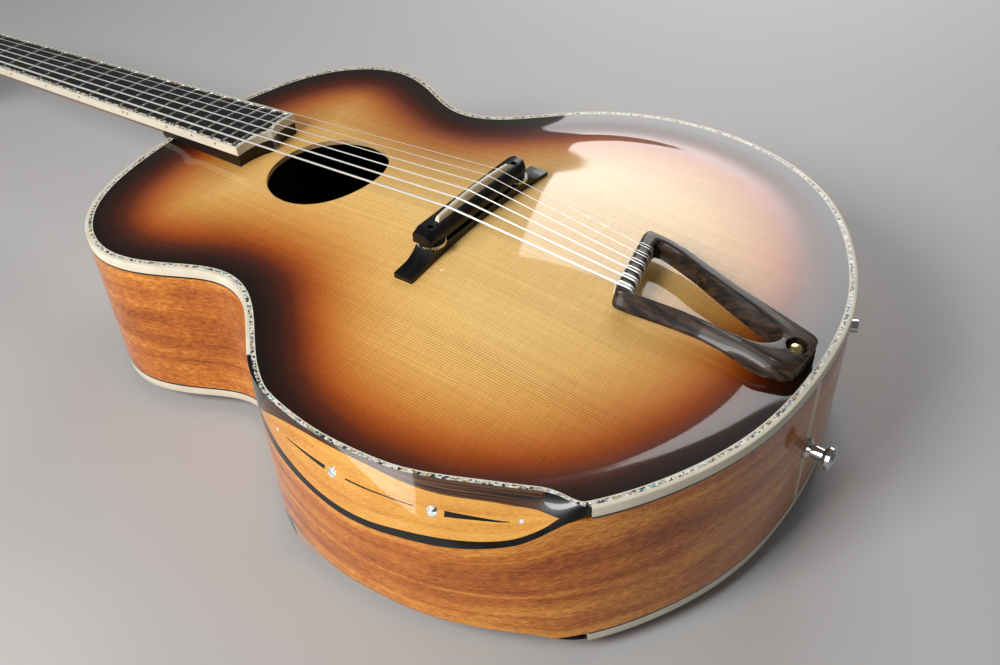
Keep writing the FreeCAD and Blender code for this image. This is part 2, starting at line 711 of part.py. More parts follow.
neck_frame = Placement(Vector(0, 0, top_edge + d.board_over_edge),
                       Rotation(ACROSS, -d.neck_angle_degrees))
head_frame = neck_frame * Placement(Vector(0, d.scale_length + d.nut_long, -d.board_thick),
                                    Rotation(ACROSS, -d.head_angle_degrees))
body_column = rim_prism(0, back_edge - d.overrun, top_edge + 2 * d.overrun)


def placed(shape, frame):
    shape = shape.copy()
    shape.Placement = frame * shape.Placement
    return shape


def board_half(along):
    """Half width of the fingerboard, binding included, at a distance from the saddle."""
    near, far = d.board_end, d.scale_length
    share = (along - near) / (far - near)
    return (d.joint_end_wide + (d.nut_end_wide - d.joint_end_wide) * share) / 2


def board_edges(inset):
    """Outline of the fingerboard with two scallops at its end, inset from the edge."""
    end = d.board_end + inset
    half_end, half_nut = board_half(end) - inset, board_half(d.scale_length) - inset
    corner = [Vector(-half_end, end, 0), Vector(-half_nut, d.scale_length, 0),
              Vector(half_nut, d.scale_length, 0), Vector(half_end, end, 0)]
    cusp = Vector(0, end, 0)
    dip = [Vector(side * half_end / 2, end + d.board_end_scallop, 0) for side in (1, -1)]
    sides = [Part.makeLine(a, b) for a, b in zip(corner, corner[1:])]
    scallops = [Part.Arc(corner[3], dip[0], cusp).toShape(),
                Part.Arc(cusp, dip[1], corner[0]).toShape()]
    return sides + scallops


def board_prism(inset, low, high):
    return prism(board_edges(inset), low, high)


def camber_drop(x):
    return d.board_camber - math.sqrt(d.board_camber ** 2 - x * x)


def fret_station(number):
    return d.scale_length * 2 ** (-number / 12)


def fret(number):
    """A bent fret: crown and tang turned about the axis of the fingerboard's camber."""
    station = fret_station(number)
    half = board_half(station) - d.fret_end_gap
    wide, tang = d.fret_wide / 2, d.fret_tang_wide / 2
    crown_arc = Part.Arc(Vector(0, wide, 0), Vector(0, 0, d.fret_high), Vector(0, -wide, 0)).toShape()
    foot = [Vector(0, -wide, 0), Vector(0, -tang, 0), Vector(0, -tang, -d.fret_tang_deep),
            Vector(0, tang, -d.fret_tang_deep), Vector(0, tang, 0), Vector(0, wide, 0)]
    profile = Part.Face(Part.Wire([crown_arc] + [Part.makeLine(a, b) for a, b in zip(foot, foot[1:])]))
    swing = math.degrees(math.asin(half / d.board_camber))
    axis = Vector(0, 0, -d.board_camber)
    profile.rotate(axis, ALONG, -swing)
    profile.translate(ALONG * station)
    return profile.revolve(axis, ALONG, 2 * swing)


# Frets with one marker on the side of the neck; the octave has a pair
side_dot_frets = (3, 5, 7, 9, 15, 17, 19)
octave_fret = 12


def side_dots():
    places = [(fret_station(n) + fret_station(n - 1)) / 2 for n in side_dot_frets]
    octave = (fret_station(octave_fret) + fret_station(octave_fret - 1)) / 2
    places += [octave - d.side_dot_pair / 2, octave + d.side_dot_pair / 2]
    dots = []
    for along in places:
        edge = Vector(-board_half(along), along, -d.board_thick / 2)
        dots.append(rod(d.side_dot_across / 2, edge - ACROSS * d.side_dot_deep,
                        edge + ACROSS * d.side_dot_deep))
    return dots


def build_fingerboard():
    low, high = -d.board_thick, d.overrun
    camber = Part.makeCylinder(d.board_camber, d.scale_length, Vector(0, 0, -d.board_camber), ALONG)
    mid, inner = d.board_binding_wide, d.board_binding_wide + d.board_purfling_wide
    whole = board_prism(0, low, high).common(camber)
    core = board_prism(mid, low, high).common(camber)
    strip = core.cut(board_prism(inner, low, high))
    strip = strip.common(board_prism(0, -d.board_purfling_deep - camber_drop(board_half(d.board_end)), high))
    frets = [fret(number) for number in range(1, int(d.fret_count) + 1)]
    dots = side_dots()
    binding = cut_all(whole.cut(core), frets)
    dots = [dot.common(binding) for dot in dots]
    feature("fingerboard", placed(solids_of(cut_all(core.cut(strip), frets)), neck_frame))
    feature("fingerboard_purfling", placed(solids_of(cut_all(strip, frets)), neck_frame))
    feature("fingerboard_binding", placed(solids_of(cut_all(binding, dots)), neck_frame))
    feature("side_dots", placed(Part.makeCompound([s for dot in dots for s in dot.Solids]), neck_frame))
    feature("frets", placed(Part.makeCompound(frets), neck_frame))
    riser = placed(board_prism(d.riser_inset, low - d.overrun, low), neck_frame)
    riser = riser.common(body_column).cut(under_top)
    feature("fingerboard_riser", solids_of(riser))


def shaft_section(along, half, deep):
    top = -d.board_thick
    left, right = Vector(-half, along, top), Vector(half, along, top)
    belly = Part.Arc(right, Vector(0, along, top - deep), left).toShape()
    return Part.Wire([Part.makeLine(left, right), belly])


def heel_section(height, wide, long):
    """A tongue that stands out from the neck end of the body."""
    back = neck_end - d.heel_cap_long
    left, right = Vector(-wide / 2, back, height), Vector(wide / 2, back, height)
    nose = Part.Arc(right, Vector(0, neck_end + long, height), left).toShape()
    return Part.Wire([Part.makeLine(left, right), nose])


# Heel from its cap up to the shaft: shares of its height, and of the way from cap to shoulder
heel_shares = ((0.0, 0.0), (0.45, 0.22), (0.8, 0.55), (1.0, 1.0))
head_waist_share = 0.94


def head_outline():
    half, tip, start = d.head_wide / 2, d.head_tip_wide / 2, d.nut_end_wide / 2
    left = [Vector(-start, 0, 0), Vector(-half, d.head_flare, 0), Vector(-tip, d.head_long, 0)]
    right = [Vector(-p.x, p.y, 0) for p in left]
    bend = Vector(-(start + half) / 2 * head_waist_share, d.head_flare / 2, 0)
    return [Part.Arc(left[0], bend, left[1]).toShape(), Part.makeLine(left[1], left[2]),
            Part.Arc(left[2], Vector(0, d.head_long + d.head_tip_rise, 0), right[2]).toShape(),
            Part.makeLine(right[2], right[1]),
            Part.Arc(right[1], Vector(-bend.x, bend.y, 0), right[0]).toShape(),
            Part.makeLine(right[0], left[0])]


head_back = -d.head_plate_thick - d.head_thick
post_places = [(side, d.tuner_first + d.tuner_pitch * index) for side in (-1, 1) for index in range(3)]


def bushing_holes():
    return [rod(d.bushing_across / 2, Vector(side * d.post_spread / 2, along, head_back - d.overrun),
                Vector(side * d.post_spread / 2, along, d.overrun)) for side, along in post_places]


# The truss rod lies under the fingerboard and ends in a pocket behind the nut
rod_height = -d.board_thick - d.rod_depth
rod_end = d.scale_length + d.nut_long
rod_tip = Vector(0, rod_end + d.rod_nut_room + d.rod_nut_long, rod_height)
rod_pocket = box(Vector(-d.rod_pocket_wide / 2, d.rod_pocket_start, -d.rod_pocket_deep),
                 Vector(d.rod_pocket_wide / 2, d.rod_pocket_long, d.overrun))
rod_shape = joined([rod(d.rod_across / 2, Vector(0, d.rod_start, rod_height), Vector(0, rod_end, rod_height)),
                    rod(d.rod_thread_across / 2, Vector(0, rod_end, rod_height), rod_tip)])


def screw_hole(place, axis):
    return rod(d.small_screw_across / 2, place, place + axis * d.small_screw_long)


cover_screw_places = [Vector(0, d.rod_pocket_long + d.cover_screw_ahead, d.cover_thick),
                      Vector(-d.cover_screw_aside, d.cover_screw_back, d.cover_thick),
                      Vector(d.cover_screw_aside, d.cover_screw_back, d.cover_thick)]
ear_middle = d.housing_ahead - d.housing_long - d.housing_ear_long / 2
housing_screw_places = [Vector(side * d.post_spread / 2, along + ear_middle, head_back - d.housing_ear)
                        for side, along in post_places]


def build_neck():
    sections = [shaft_section(d.shaft_end, board_half(d.shaft_end), d.shaft_deep_at_heel),
                shaft_section(rod_end, board_half(rod_end), d.shaft_deep_at_nut)]
    shaft = placed(Part.makeLoft(sections, True, True), neck_frame)
    low = back_edge + d.heel_over_back
    high = neck_frame.multVec(Vector(0, neck_end, -d.board_thick)).z - d.heel_cap_long
    heel = Part.makeLoft([heel_section(low + (high - low) * up,
                                       d.heel_cap_wide + (d.heel_wide - d.heel_cap_wide) * out,
                                       d.heel_cap_long + (d.heel_long - d.heel_cap_long) * out)
                          for up, out in heel_shares], True, False)
    head = placed(prism(head_outline(), head_back, -d.head_plate_thick), head_frame)
    neck = joined([shaft, heel, head]).cut(body_column)
    neck = joined([neck, tenon])
    holes = [placed(tool, head_frame) for tool in bushing_holes() + [rod_pocket]]
    holes += [placed(screw_hole(p, UP * -1), head_frame) for p in cover_screw_places]
    holes += [placed(screw_hole(p, UP), head_frame) for p in housing_screw_places]
    holes.append(placed(rod_shape, neck_frame))
    feature("neck", solids_of(cut_all(neck, holes)))
    plate = prism(head_outline(), -d.head_plate_thick, 0)
    plate_holes = bushing_holes() + [rod_pocket] + [screw_hole(p, UP * -1) for p in cover_screw_places]
    plate = placed(cut_all(plate, plate_holes), head_frame).cut(shaft)
    feature("head_plate", solids_of(plate))
    feature("truss_rod", placed(rod_shape, neck_frame))


def hexagon(across, low, high):
    corners = [Vector(math.cos(math.pi / 3 * k), math.sin(math.pi / 3 * k), 0) * (across / math.sqrt(3))
               for k in range(6)]
    return prism(polygon_edges(corners), low, high)


def build_rod_nut():
    """Hexagonal nut that turns on the end of the truss rod."""
    blank = hexagon(d.rod_nut_across, 0, d.rod_nut_long)
    blank = blank.cut(rod(d.rod_thread_across / 2 + d.rod_nut_fit, Vector(), UP * d.rod_nut_long))
    blank.rotate(Vector(), ACROSS, -90)
    return blank


# Tuners, drawn with the post along z from the back of the head and the key along x

gear_radius = d.gear_module * d.gear_teeth / 2
worm_offset = gear_radius + d.worm_across / 2
tooth_in_share, tooth_root_share, tooth_tip_share = 1.2, 0.75, 0.35
tooth_out, tooth_in = d.gear_module, tooth_in_share * d.gear_module
thread_pitch = math.pi * d.gear_module


def worm_wheel():
    """Wheel whose teeth are trapezia; a gap faces the worm at rest."""
    root, tip = gear_radius - tooth_in, gear_radius + tooth_out
    low = -d.gear_mid_depth - d.gear_high / 2
    blank = Part.makeCylinder(root, d.gear_high, UP * low)
    teeth = []
    for index in range(int(d.gear_teeth)):
        wide, narrow = d.gear_flank * tooth_root_share, d.gear_flank * tooth_tip_share
        corners = [Vector(-wide, root - tooth_in, 0), Vector(wide, root - tooth_in, 0),
                   Vector(narrow, tip - d.gear_room, 0), Vector(-narrow, tip - d.gear_room, 0)]
        tooth = prism(polygon_edges(corners), low, low + d.gear_high)
        tooth.rotate(Vector(), UP, 360 / d.gear_teeth * (index + 0.5))
        teeth.append(tooth)
    return joined([blank] + teeth)


def worm_thread():
    """Right-handed thread round the x axis with a crest on the wheel's centre line."""
    root, tip = d.worm_across / 2 - tooth_in, d.worm_across / 2 + tooth_out - d.gear_room
    helix = Part.makeHelix(thread_pitch, d.worm_long, root)
    wide, narrow = d.worm_flank * tooth_root_share, d.worm_flank * tooth_tip_share
    corners = [Vector(root - tooth_in / 2, 0, -wide), Vector(tip, 0, -narrow),
               Vector(tip, 0, narrow), Vector(root - tooth_in / 2, 0, wide)]
    thread = Part.Wire(helix).makePipeShell([Part.Wire(polygon_edges(corners))], True, True)
    turns = d.worm_long / thread_pitch
    thread.rotate(Vector(), UP, 180 - 360 * ((turns / 2) % 1))
    thread.translate(UP * (-d.worm_long / 2))
    thread.rotate(Vector(), Vector(1, 1, 1), 120)
    return thread


def worm_key():
    """Key with its worm, shaft, collar and oval button along +x, in the post's frame."""
    line = Vector(0, worm_offset, -d.gear_mid_depth)
    face = d.housing_wide / 2
    inner = d.housing_wall - face
    shaft = rod(d.key_shaft_across / 2, line + ACROSS * inner, line + ACROSS * (face + d.key_shaft_out))
    collar = rod(d.key_collar_across / 2, line + ACROSS * (face + d.key_gap),
                 line + ACROSS * (face + d.key_gap + d.key_collar_long))
    oval = Part.Ellipse(Vector(), d.button_long / 2, d.button_wide / 2).toShape()
    button = prism([oval], -d.button_thick / 2, d.button_thick / 2)
    button = button.makeFillet(d.button_edge, rims(button))
    button.translate(line + ACROSS * (face + d.key_shaft_out + d.button_long / 2 - d.button_edge))
    thread = worm_thread()
    thread.translate(line)
    return joined([shaft, collar, button, thread])


def rims(shape):
    """Edges that lie flat in a level plane."""
    return [edge for edge in shape.Edges if edge.BoundBox.ZLength < flat_tolerance]


flat_tolerance = 1e-6


def housing():
    """Cast cover over worm and wheel, open to the head, with one screw ear."""
    wide, rear = d.housing_wide / 2, d.housing_ahead - d.housing_long
    shell = box(Vector(-wide, rear, -d.housing_high), Vector(wide, d.housing_ahead, 0))
    shell = shell.makeFillet(d.housing_edge, [e for e in shell.Edges if e.BoundBox.ZMin < -d.housing_edge])
    ear = box(Vector(-d.housing_ear_wide / 2, rear - d.housing_ear_long, -d.housing_ear),
              Vector(d.housing_ear_wide / 2, rear + d.housing_wall, 0))
    line = Vector(0, worm_offset, -d.gear_mid_depth)
    room = d.housing_room
    gear_low = -d.gear_mid_depth - d.gear_high / 2 - room
    well = rod(gear_radius + tooth_out + room, UP * gear_low, UP * d.overrun)
    tunnel = rod(d.worm_across / 2 + tooth_out + room, line - ACROSS * (d.worm_long / 2 + room),
                 line + ACROSS * (d.worm_long / 2 + room))
    bore = rod(d.key_shaft_across / 2 + d.post_fit, line - ACROSS * (wide - d.housing_wall),
               line + ACROSS * d.overrun)
    screw = rod(d.small_screw_across / 2, Vector(0, ear_middle, -d.overrun), Vector(0, ear_middle, d.overrun))
    return cut_all(joined([shell, ear]), [well, tunnel, bore, screw])


def small_screw(place, axis):
    """Dome-headed screw whose head sits at a place and whose shank runs along an axis."""
    head = rod(d.small_screw_head / 2, place - axis * d.small_screw_dome, place)
    crest = max(head.Edges, key=lambda edge: (place - edge.CenterOfMass).dot(axis))
    head = head.makeFillet(d.small_screw_dome * dome_share, [crest])
    return joined([head, screw_hole(place, axis)])


dome_share = 0.9


def sided(shape, side):
    """Treble tuners as drawn, bass tuners as their mirror image."""
    return shape if side > 0 else shape.mirror(Vector(), ACROSS)


def build_tuners():
    key, cover, wheel = worm_key(), housing(), worm_wheel()
    foot = d.gear_mid_depth + d.gear_high / 2
    wheel = wheel.cut(rod(d.post_across / 2, UP * -d.overrun, UP * d.overrun))
    radius, full = "sizes.post_across / 2", ("sizes.gear_mid_depth + sizes.gear_high / 2 + sizes.head_thick"
                                              " + sizes.head_plate_thick + sizes.post_over_head")
    bevel = "sizes.post_tip_bevel"
    post_profile = [("0", "0"), (radius, "0"), (radius, f"{full} - {bevel}"),
                    (f"{radius} - {bevel}", full), ("0", full)]
    bore, sleeve = f"{radius} + sizes.post_fit", "sizes.bushing_sleeve"
    rim, flange = "sizes.bushing_flange_across / 2", "sizes.bushing_flange_high"
    outer = "sizes.bushing_across / 2"
    bushing_profile = [(bore, "0"), (outer, "0"), (outer, sleeve), (rim, sleeve),
                       (rim, f"{sleeve} + {flange} / 2"), (outer, f"{sleeve} + {flange}"),
                       (bore, f"{sleeve} + {flange}")]
    housings, bushings = [], []
    for number, (side, along) in enumerate(post_places, 1):
        place = Vector(side * d.post_spread / 2, along, 0)
        frame = head_frame * Placement(place + UP * head_back, Rotation())
        bushings.append(turned(f"bushing_{number}", bushing_profile,
                               head_frame * Placement(place - UP * d.bushing_sleeve, Rotation())))
        post = turned(f"post_{number}", post_profile, frame * Placement(UP * -foot, Rotation()))
        eye = d.head_thick + d.head_plate_thick + d.post_over_head - d.post_hole_below_tip
        drill = primitive("Cylinder", f"post_eye_{number}",
                          frame * Placement(Vector(0, -d.overrun / 2, eye), Rotation(ACROSS, -90)),
                          Radius="sizes.post_hole_across / 2", Height="sizes.overrun")
        drilled = combine("Cut", f"drilled_post_{number}", post, drill)
        worm = solid_tool(f"worm_wheel_{number}", placed(sided(wheel, side), frame))
        group(f"tuner_post_{number}", [drilled, worm])
        feature(f"tuner_key_{number}", placed(sided(key, side), frame))
        housings.append(placed(sided(cover, side), frame))
    feature("tuner_housings", Part.makeCompound(housings))
    group("tuner_bushings", bushings)
    screws = [small_screw(p, UP) for p in housing_screw_places]
    screws += [small_screw(p, UP * -1) for p in cover_screw_places]
    feature("head_screws", placed(Part.makeCompound(screws), head_frame))


cover_waist_share, cover_tip_share = 0.55, 0.35


def build_cover():
    """Bell-shaped plate over the truss rod nut, padded from a bound outline."""
    half, long, start = "sizes.cover_wide / 2", "sizes.cover_long", "sizes.cover_offset"
    waist, tip = f"{long} * {cover_waist_share}", f"{half} * {cover_tip_share}"
    outline_formulas = [(f"-({half})", start), (half, start), (half, waist), (tip, long),
                        (f"-({tip})", long), (f"-({half})", waist)]
    blank = padded("cover_blank", outline_formulas, "sizes.cover_thick")
    blank.Placement = head_frame
    bores = [rod(d.small_screw_across / 2, place - UP * d.overrun, place + UP * d.overrun)
             for place in cover_screw_places]
    holes = solid_tool("cover_holes", placed(Part.makeCompound(bores), head_frame))
    node(combine("Cut", "truss_rod_cover", blank, holes), "truss_rod_cover")
    feature("truss_rod_nut", placed(build_rod_nut(), neck_frame * Placement(
        Vector(0, rod_end + d.rod_nut_room, rod_height), Rotation())))


# Strings, numbered from the treble side

def rounded_path(points, radii, closed=False):
    """Straight runs joined by tangent arcs; a radius of None takes up half of the next run."""
    count = len(points)
    bends = []
    for index in range(count) if closed else range(1, count - 1):
        corner, radius = points[index], radii[index]
        back, ahead = points[index - 1] - corner, points[(index + 1) % count] - corner
        half_turn = ahead.getAngle(back * -1) / 2
        reach = ahead.Length / 2 if radius is None else radius * math.tan(half_turn)
        back.normalize()
        ahead.normalize()
        crest = reach / math.tan(half_turn) * (1 / math.cos(half_turn) - 1)
        middle = corner + (back + ahead).normalize() * crest
        bends.append((corner + back * reach, middle, corner + ahead * reach))
    stops = bends[-1][2] if closed else points[0]
    edges = []
    for start, middle, end in bends:
        if (start - stops).Length > flat_tolerance:
            edges.append(Part.makeLine(stops, start))
        edges.append(Part.Arc(start, middle, end).toShape())
        stops = end
    if not closed:
        edges.append(Part.makeLine(stops, points[-1]))
    return edges


def tube(edges, radius):
    start = edges[0].valueAt(edges[0].FirstParameter)
    run = edges[0].tangentAt(edges[0].FirstParameter)
    ring = Part.Wire(Part.makeCircle(radius, start, run))
    return Part.Wire(edges).makePipeShell([ring], True, False)


string_count, plain_count = 6, 2
tail_front_lean = (d.tail_front_treble - d.tail_front_bass) / d.tail_front_wide


def tail_front(x):
    """Distance from the screw to the front of the slanted tailpiece bar."""
    return (d.tail_front_treble + d.tail_front_bass) / 2 + x * tail_front_lean


def string_across(spread_wide, number):
    return spread_wide * ((string_count + 1) / 2 - number) / (string_count - 1)


class String:
    """One string: wraps on the tailpiece bar, saddle, nut, and winding on its post."""

    def __init__(self, number):
        self.number = number
        self.radius = getattr(d, f"gauge_{number}") / 2
        side = 1 if number <= string_count // 2 else -1
        index = number - 1 if side > 0 else string_count - number
        self.side = side
        self.post = Vector(side * d.post_spread / 2, d.tuner_first + d.tuner_pitch * index, 0)
        x = string_across(d.saddle_spread, number)
        height = d.action_at_saddle - x * x / (2 * d.saddle_crown) + self.radius
        self.saddle = neck_frame.multVec(Vector(x, 0, height))
        x = string_across(d.nut_spread, number)
        height = d.action_at_nut - camber_drop(x) + self.radius
        self.nut = neck_frame.multVec(Vector(x, d.scale_length + d.nut_long / 2, height))

    def wraps(self):
        """One and a half turns round the tailpiece bar, from the free end to the last edge."""
        off = self.radius + d.wrap_room
        first = string_across(d.tail_spread, self.number) - d.wrap_step / 2
        deep = -d.tail_thick - off

        def front(x, z):
            return tail_frame.multVec(Vector(x, tail_front(x) + off, z))

        def rear(x, z):
            return tail_frame.multVec(Vector(x, tail_front(x) - d.tail_bar - off, z))

        middle, last = first + d.wrap_step / 2, first + d.wrap_step
        return [rear(last, -d.tail_thick / 2), rear(last, off), front(last, off),
                front(middle, deep), rear(middle, deep), rear(first, off)]

    def winding(self):
        """Corners of the square round each turn on the post, from the nut upwards."""
        start = head_frame.inverse().multVec(self.nut)
        wide = d.post_across / 2 + self.radius + d.string_seat
        reach = Vector(self.post.x - start.x, self.post.y - start.y, 0)
        lean = math.asin(wide / reach.Length) * self.side
        heading = Rotation(UP, math.degrees(lean)).multVec(reach.normalize())
        outward = Rotation(UP, 90 * self.side).multVec(heading) * wide
        climb = (2 * self.radius + d.winding_gap) / 4
        points = []
        for quarter in range(winding_quarters):
            turn = Rotation(UP, -90 * self.side * quarter)
            corner = turn.multVec(heading * wide + outward)
            height = d.winding_start + climb * quarter
            points.append(head_frame.multVec(self.post + corner + UP * height))
        tail = turn.multVec(outward * -1) / wide * (wide + 2 * self.radius)
        points.append(points[-1] + head_frame.Rotation.multVec(tail))
        return points

    def edges(self):
        wraps, winding = self.wraps(), self.winding()
        edge = d.tail_edge + self.radius + d.wrap_room
        radii = [None] + [edge] * (len(wraps) - 1) + [d.saddle_bend, d.saddle_bend]
        radii += [None] * (len(winding) - 1) + [None]
        points = wraps + [self.saddle, self.nut] + winding
        return rounded_path(points, radii[:len(points)])

    def slot(self):
        """Room for the string where it crosses the nut."""
        wraps, winding = self.wraps(), self.winding()
        wide = self.radius + d.string_seat
        return [rod(wide, self.saddle, self.nut), rod(wide, self.nut, winding[0]),
                Part.makeSphere(wide, self.nut), rod(wide, wraps[-1], self.saddle),
                Part.makeSphere(wide, self.saddle)]


winding_quarters = 10
strings = [String(number) for number in range(1, string_count + 1)]


def least_gap(edges, across):
    """Least distance of a wound tube to itself, measured on points along its bends."""
    points = []
    along = 0.0
    for edge in edges:
        steps = 3 if edge.Length > across else 1
        for step in range(steps):
            place = edge.valueAt(edge.getParameterByLength(edge.Length * step / steps))
            points.append((along + edge.Length * step / steps, place))
        along += edge.Length
    gaps = [(p - q).Length for k, (a, p) in enumerate(points) for b, q in points[k + 1:]
            if b - a > math.pi * across and b - a > d.post_across * 2]
    return min(gaps) - across


def build_strings():
    plain, wound = [], []
    for string in strings:
        edges = string.edges()
        gap = least_gap(edges, 2 * string.radius)
        print(f"string {string.number}: least gap to itself {gap:.2f} mm")
        (plain if string.number <= plain_count else wound).append(tube(edges, string.radius))
    feature("plain_strings", Part.makeCompound(plain))
    feature("wound_strings", Part.makeCompound(wound))
    nut_low, nut_high = d.scale_length, d.scale_length + d.nut_long
    half = board_half(d.scale_length)
    blank = box(Vector(-half, nut_low, -d.board_thick), Vector(half, nut_high, d.overrun))
    crest = Part.makeCylinder(d.board_camber + d.nut_over_board, 2 * d.scale_length,
                              Vector(0, 0, -d.board_camber), ALONG)
    nut = placed(blank.common(crest), neck_frame)
    feature("nut", solids_of(cut_all(nut, [tool for string in strings for tool in string.slot()])))


# Bridge, heights measured from the plane of the top edge

def wheel_shape():
    """Knurled wheel: a ring of shallow teeth round a threaded bore."""
    count = 2 * int(d.wheel_notches)
    corners = []
    for index in range(count):
        radius = d.wheel_across / 2 - d.wheel_notch * (index % 2)
        corners.append(Rotation(UP, 360 / count * index).multVec(ACROSS * radius))
    blank = prism(polygon_edges(corners), 0, d.wheel_thick)
    return blank.cut(rod(d.bridge_post_across / 2 + d.wheel_fit, Vector(), UP * d.wheel_thick))


def build_bridge():
    tip, step = d.bridge_long / 2, d.bridge_step
    low, mid, high = (top_edge + h for h in (d.bridge_tip_height,
                      d.bridge_tip_height + d.bridge_tongue_rise, d.bridge_base_height))
    ramp = tip - d.bridge_tongue
    right = [Vector(tip, 0, top_edge), Vector(tip, 0, low), Vector(ramp, 0, mid),
             Vector(ramp - step, 0, high)]
    left = [Vector(-p.x, 0, p.z) for p in reversed(right)]
    sag = Vector(ramp - step / 2, 0, (mid + high) / 2 - d.bridge_tongue_rise)
    edges = [Part.makeLine(right[0], right[1]), Part.makeLine(right[1], right[2]),
             Part.Arc(right[2], sag, right[3]).toShape(), Part.makeLine(right[3], left[0]),
             Part.Arc(left[0], Vector(-sag.x, 0, sag.z), left[1]).toShape(),
             Part.makeLine(left[1], left[2]), Part.makeLine(left[2], left[3]),
             Part.makeLine(left[3], right[0])]
    base = Part.Face(Part.Wire(edges)).extrude(ALONG * d.bridge_wide)
    base.translate(ALONG * (-d.bridge_wide / 2))
    posts = []
    for side in (-1, 1):
        foot = Vector(side * d.bridge_post_spread / 2, 0, high - d.bridge_post_sunk)
        posts.append(primitive("Cylinder", "bass_post" if side < 0 else "treble_post",
                               Placement(foot, Rotation()), Radius="sizes.bridge_post_across / 2",
                               Height="sizes.bridge_post_top - sizes.bridge_base_height"
                                      " + sizes.bridge_post_sunk"))
    doc.recompute()
    feature("bridge_base", solids_of(cut_all(base, [under_top] + [post.Shape for post in posts])))
    group("bridge_posts", posts)
    seat = top_edge + d.bridge_base_height + d.wheel_gap
    for side, label in ((-1, "thumbwheel_bass"), (1, "thumbwheel_treble")):
        wheel = wheel_shape()
        wheel.translate(Vector(side * d.bridge_post_spread / 2, 0, seat))
        feature(label, wheel)
    under = seat + d.wheel_thick + d.wheel_gap
    half, wide = d.bridge_top_long / 2, d.bridge_top_wide / 2
    block = box(Vector(-half, -wide, under), Vector(half, wide, top_edge + d.bridge_top_height))
    round_edges = [e for e in block.Edges if e.BoundBox.ZMax > under + d.bridge_top_edge]
    block = block.makeFillet(d.bridge_top_edge, round_edges)
    slot_low = top_edge + d.bridge_top_height - d.saddle_sunk
    crown_top = neck_frame.multVec(UP * d.action_at_saddle).z + d.gauge_1
    reach, thick = d.saddle_long / 2, d.saddle_wide / 2
    bone = box(Vector(-reach, -thick, slot_low), Vector(reach, thick, crown_top))
    crest = Part.makeCylinder(d.saddle_crown, d.bridge_wide,
                              Vector(0, -d.bridge_wide / 2, crown_top - d.saddle_crown), ALONG)
    bone = bone.common(crest)
    ends = [e for e in bone.Edges if abs(e.CenterOfMass.y) < flat_tolerance]
    bone = bone.makeFillet(thick, [e for e in ends if e.CenterOfMass.z > slot_low + thick])
    holes = [rod(d.bridge_post_across / 2 + d.wheel_fit, Vector(side * d.bridge_post_spread / 2, 0, under),
                 Vector(side * d.bridge_post_spread / 2, 0, top_edge + d.overrun)) for side in (-1, 1)]
    slots = [tool for string in strings for tool in string.slot()]
    feature("bridge_top", solids_of(cut_all(block, holes + [bone])))
    feature("saddle", solids_of(cut_all(bone, slots)))


# Tailpiece, foot and screw

def build_tailpiece():
    half, waist, rear = d.tail_front_wide / 2, d.tail_waist_wide / 2, d.tail_rear_wide / 2
    front = [Vector(side * half, tail_front(side * half), 0) for side in (1, -1)]
    right = [Vector(rear - d.tail_clip, -d.tail_rear, 0), Vector(rear, d.tail_clip - d.tail_rear, 0),
             Vector(waist, d.tail_rear, 0)]
    left = [Vector(-p.x, p.y, 0) for p in reversed(right)]
    plan = right + front + left
    radii = [d.tail_clip / 2, d.tail_clip, d.tail_front_wide] + [d.tail_corner] * 2
    radii += [d.tail_front_wide, d.tail_clip, d.tail_clip / 2]
    blank = prism(rounded_path(plan, radii, True), -d.tail_thick, 0)
    inner = half - d.tail_leg
    eye, apex = d.tail_eye / 2, d.tail_eye_ahead
    window = [Vector(eye, apex - eye, 0), Vector(inner, tail_front(inner) - d.tail_bar, 0),
              Vector(-inner, tail_front(-inner) - d.tail_bar, 0), Vector(-eye, apex - eye, 0)]
    opening = prism(rounded_path(window, [eye * eye_round_share, d.tail_window_corner, d.tail_window_corner,
                                          eye * eye_round_share], True), -d.overrun, d.overrun)
    shell = blank.cut(opening)
    shell = shell.makeFillet(d.tail_edge, rims(shell))
    bore = rod(d.tail_bore / 2, UP * -d.tail_bore_deep, UP * d.overrun)
    tailpiece = placed(shell.cut(bore), tail_frame).cut(tail_screw_hole)
    feature("tailpiece", solids_of(tailpiece))
    foot = box(Vector(-d.foot_wide / 2, -d.foot_long / 2, -d.overrun),
               Vector(d.foot_wide / 2, d.foot_long / 2, -d.tail_thick))
    foot = placed(foot, tail_frame).cut(under_top).cut(tail_screw_hole)
    feature("tailpiece_foot", solids_of(foot))
    radius, shank_radius = "sizes.tail_screw_head / 2", "sizes.tail_screw_across / 2"
    long, dome = "sizes.tail_screw_long", "sizes.tail_screw_dome"
    profile = [("0", "0"), (shank_radius, f"{shank_radius}"), (shank_radius, long), (radius, long),
               *[(f"{radius} * {out}", f"{long} + {dome} * {up}") for out, up in dome_shares],
               ("0", f"{long} + {dome}")]
    foot = Placement(UP * (-d.tail_bore_deep - d.tail_screw_long), Rotation())
    node(turned("tailpiece_screw", profile, tail_frame * foot), "tailpiece_screw")


eye_round_share = 0.98
# Dome of the screw head: shares of its radius and of its rise
dome_shares = ((0.92, 0.45), (0.6, 0.85))


# Hardware on the rim and inside the box

strap_face_share = 0.85


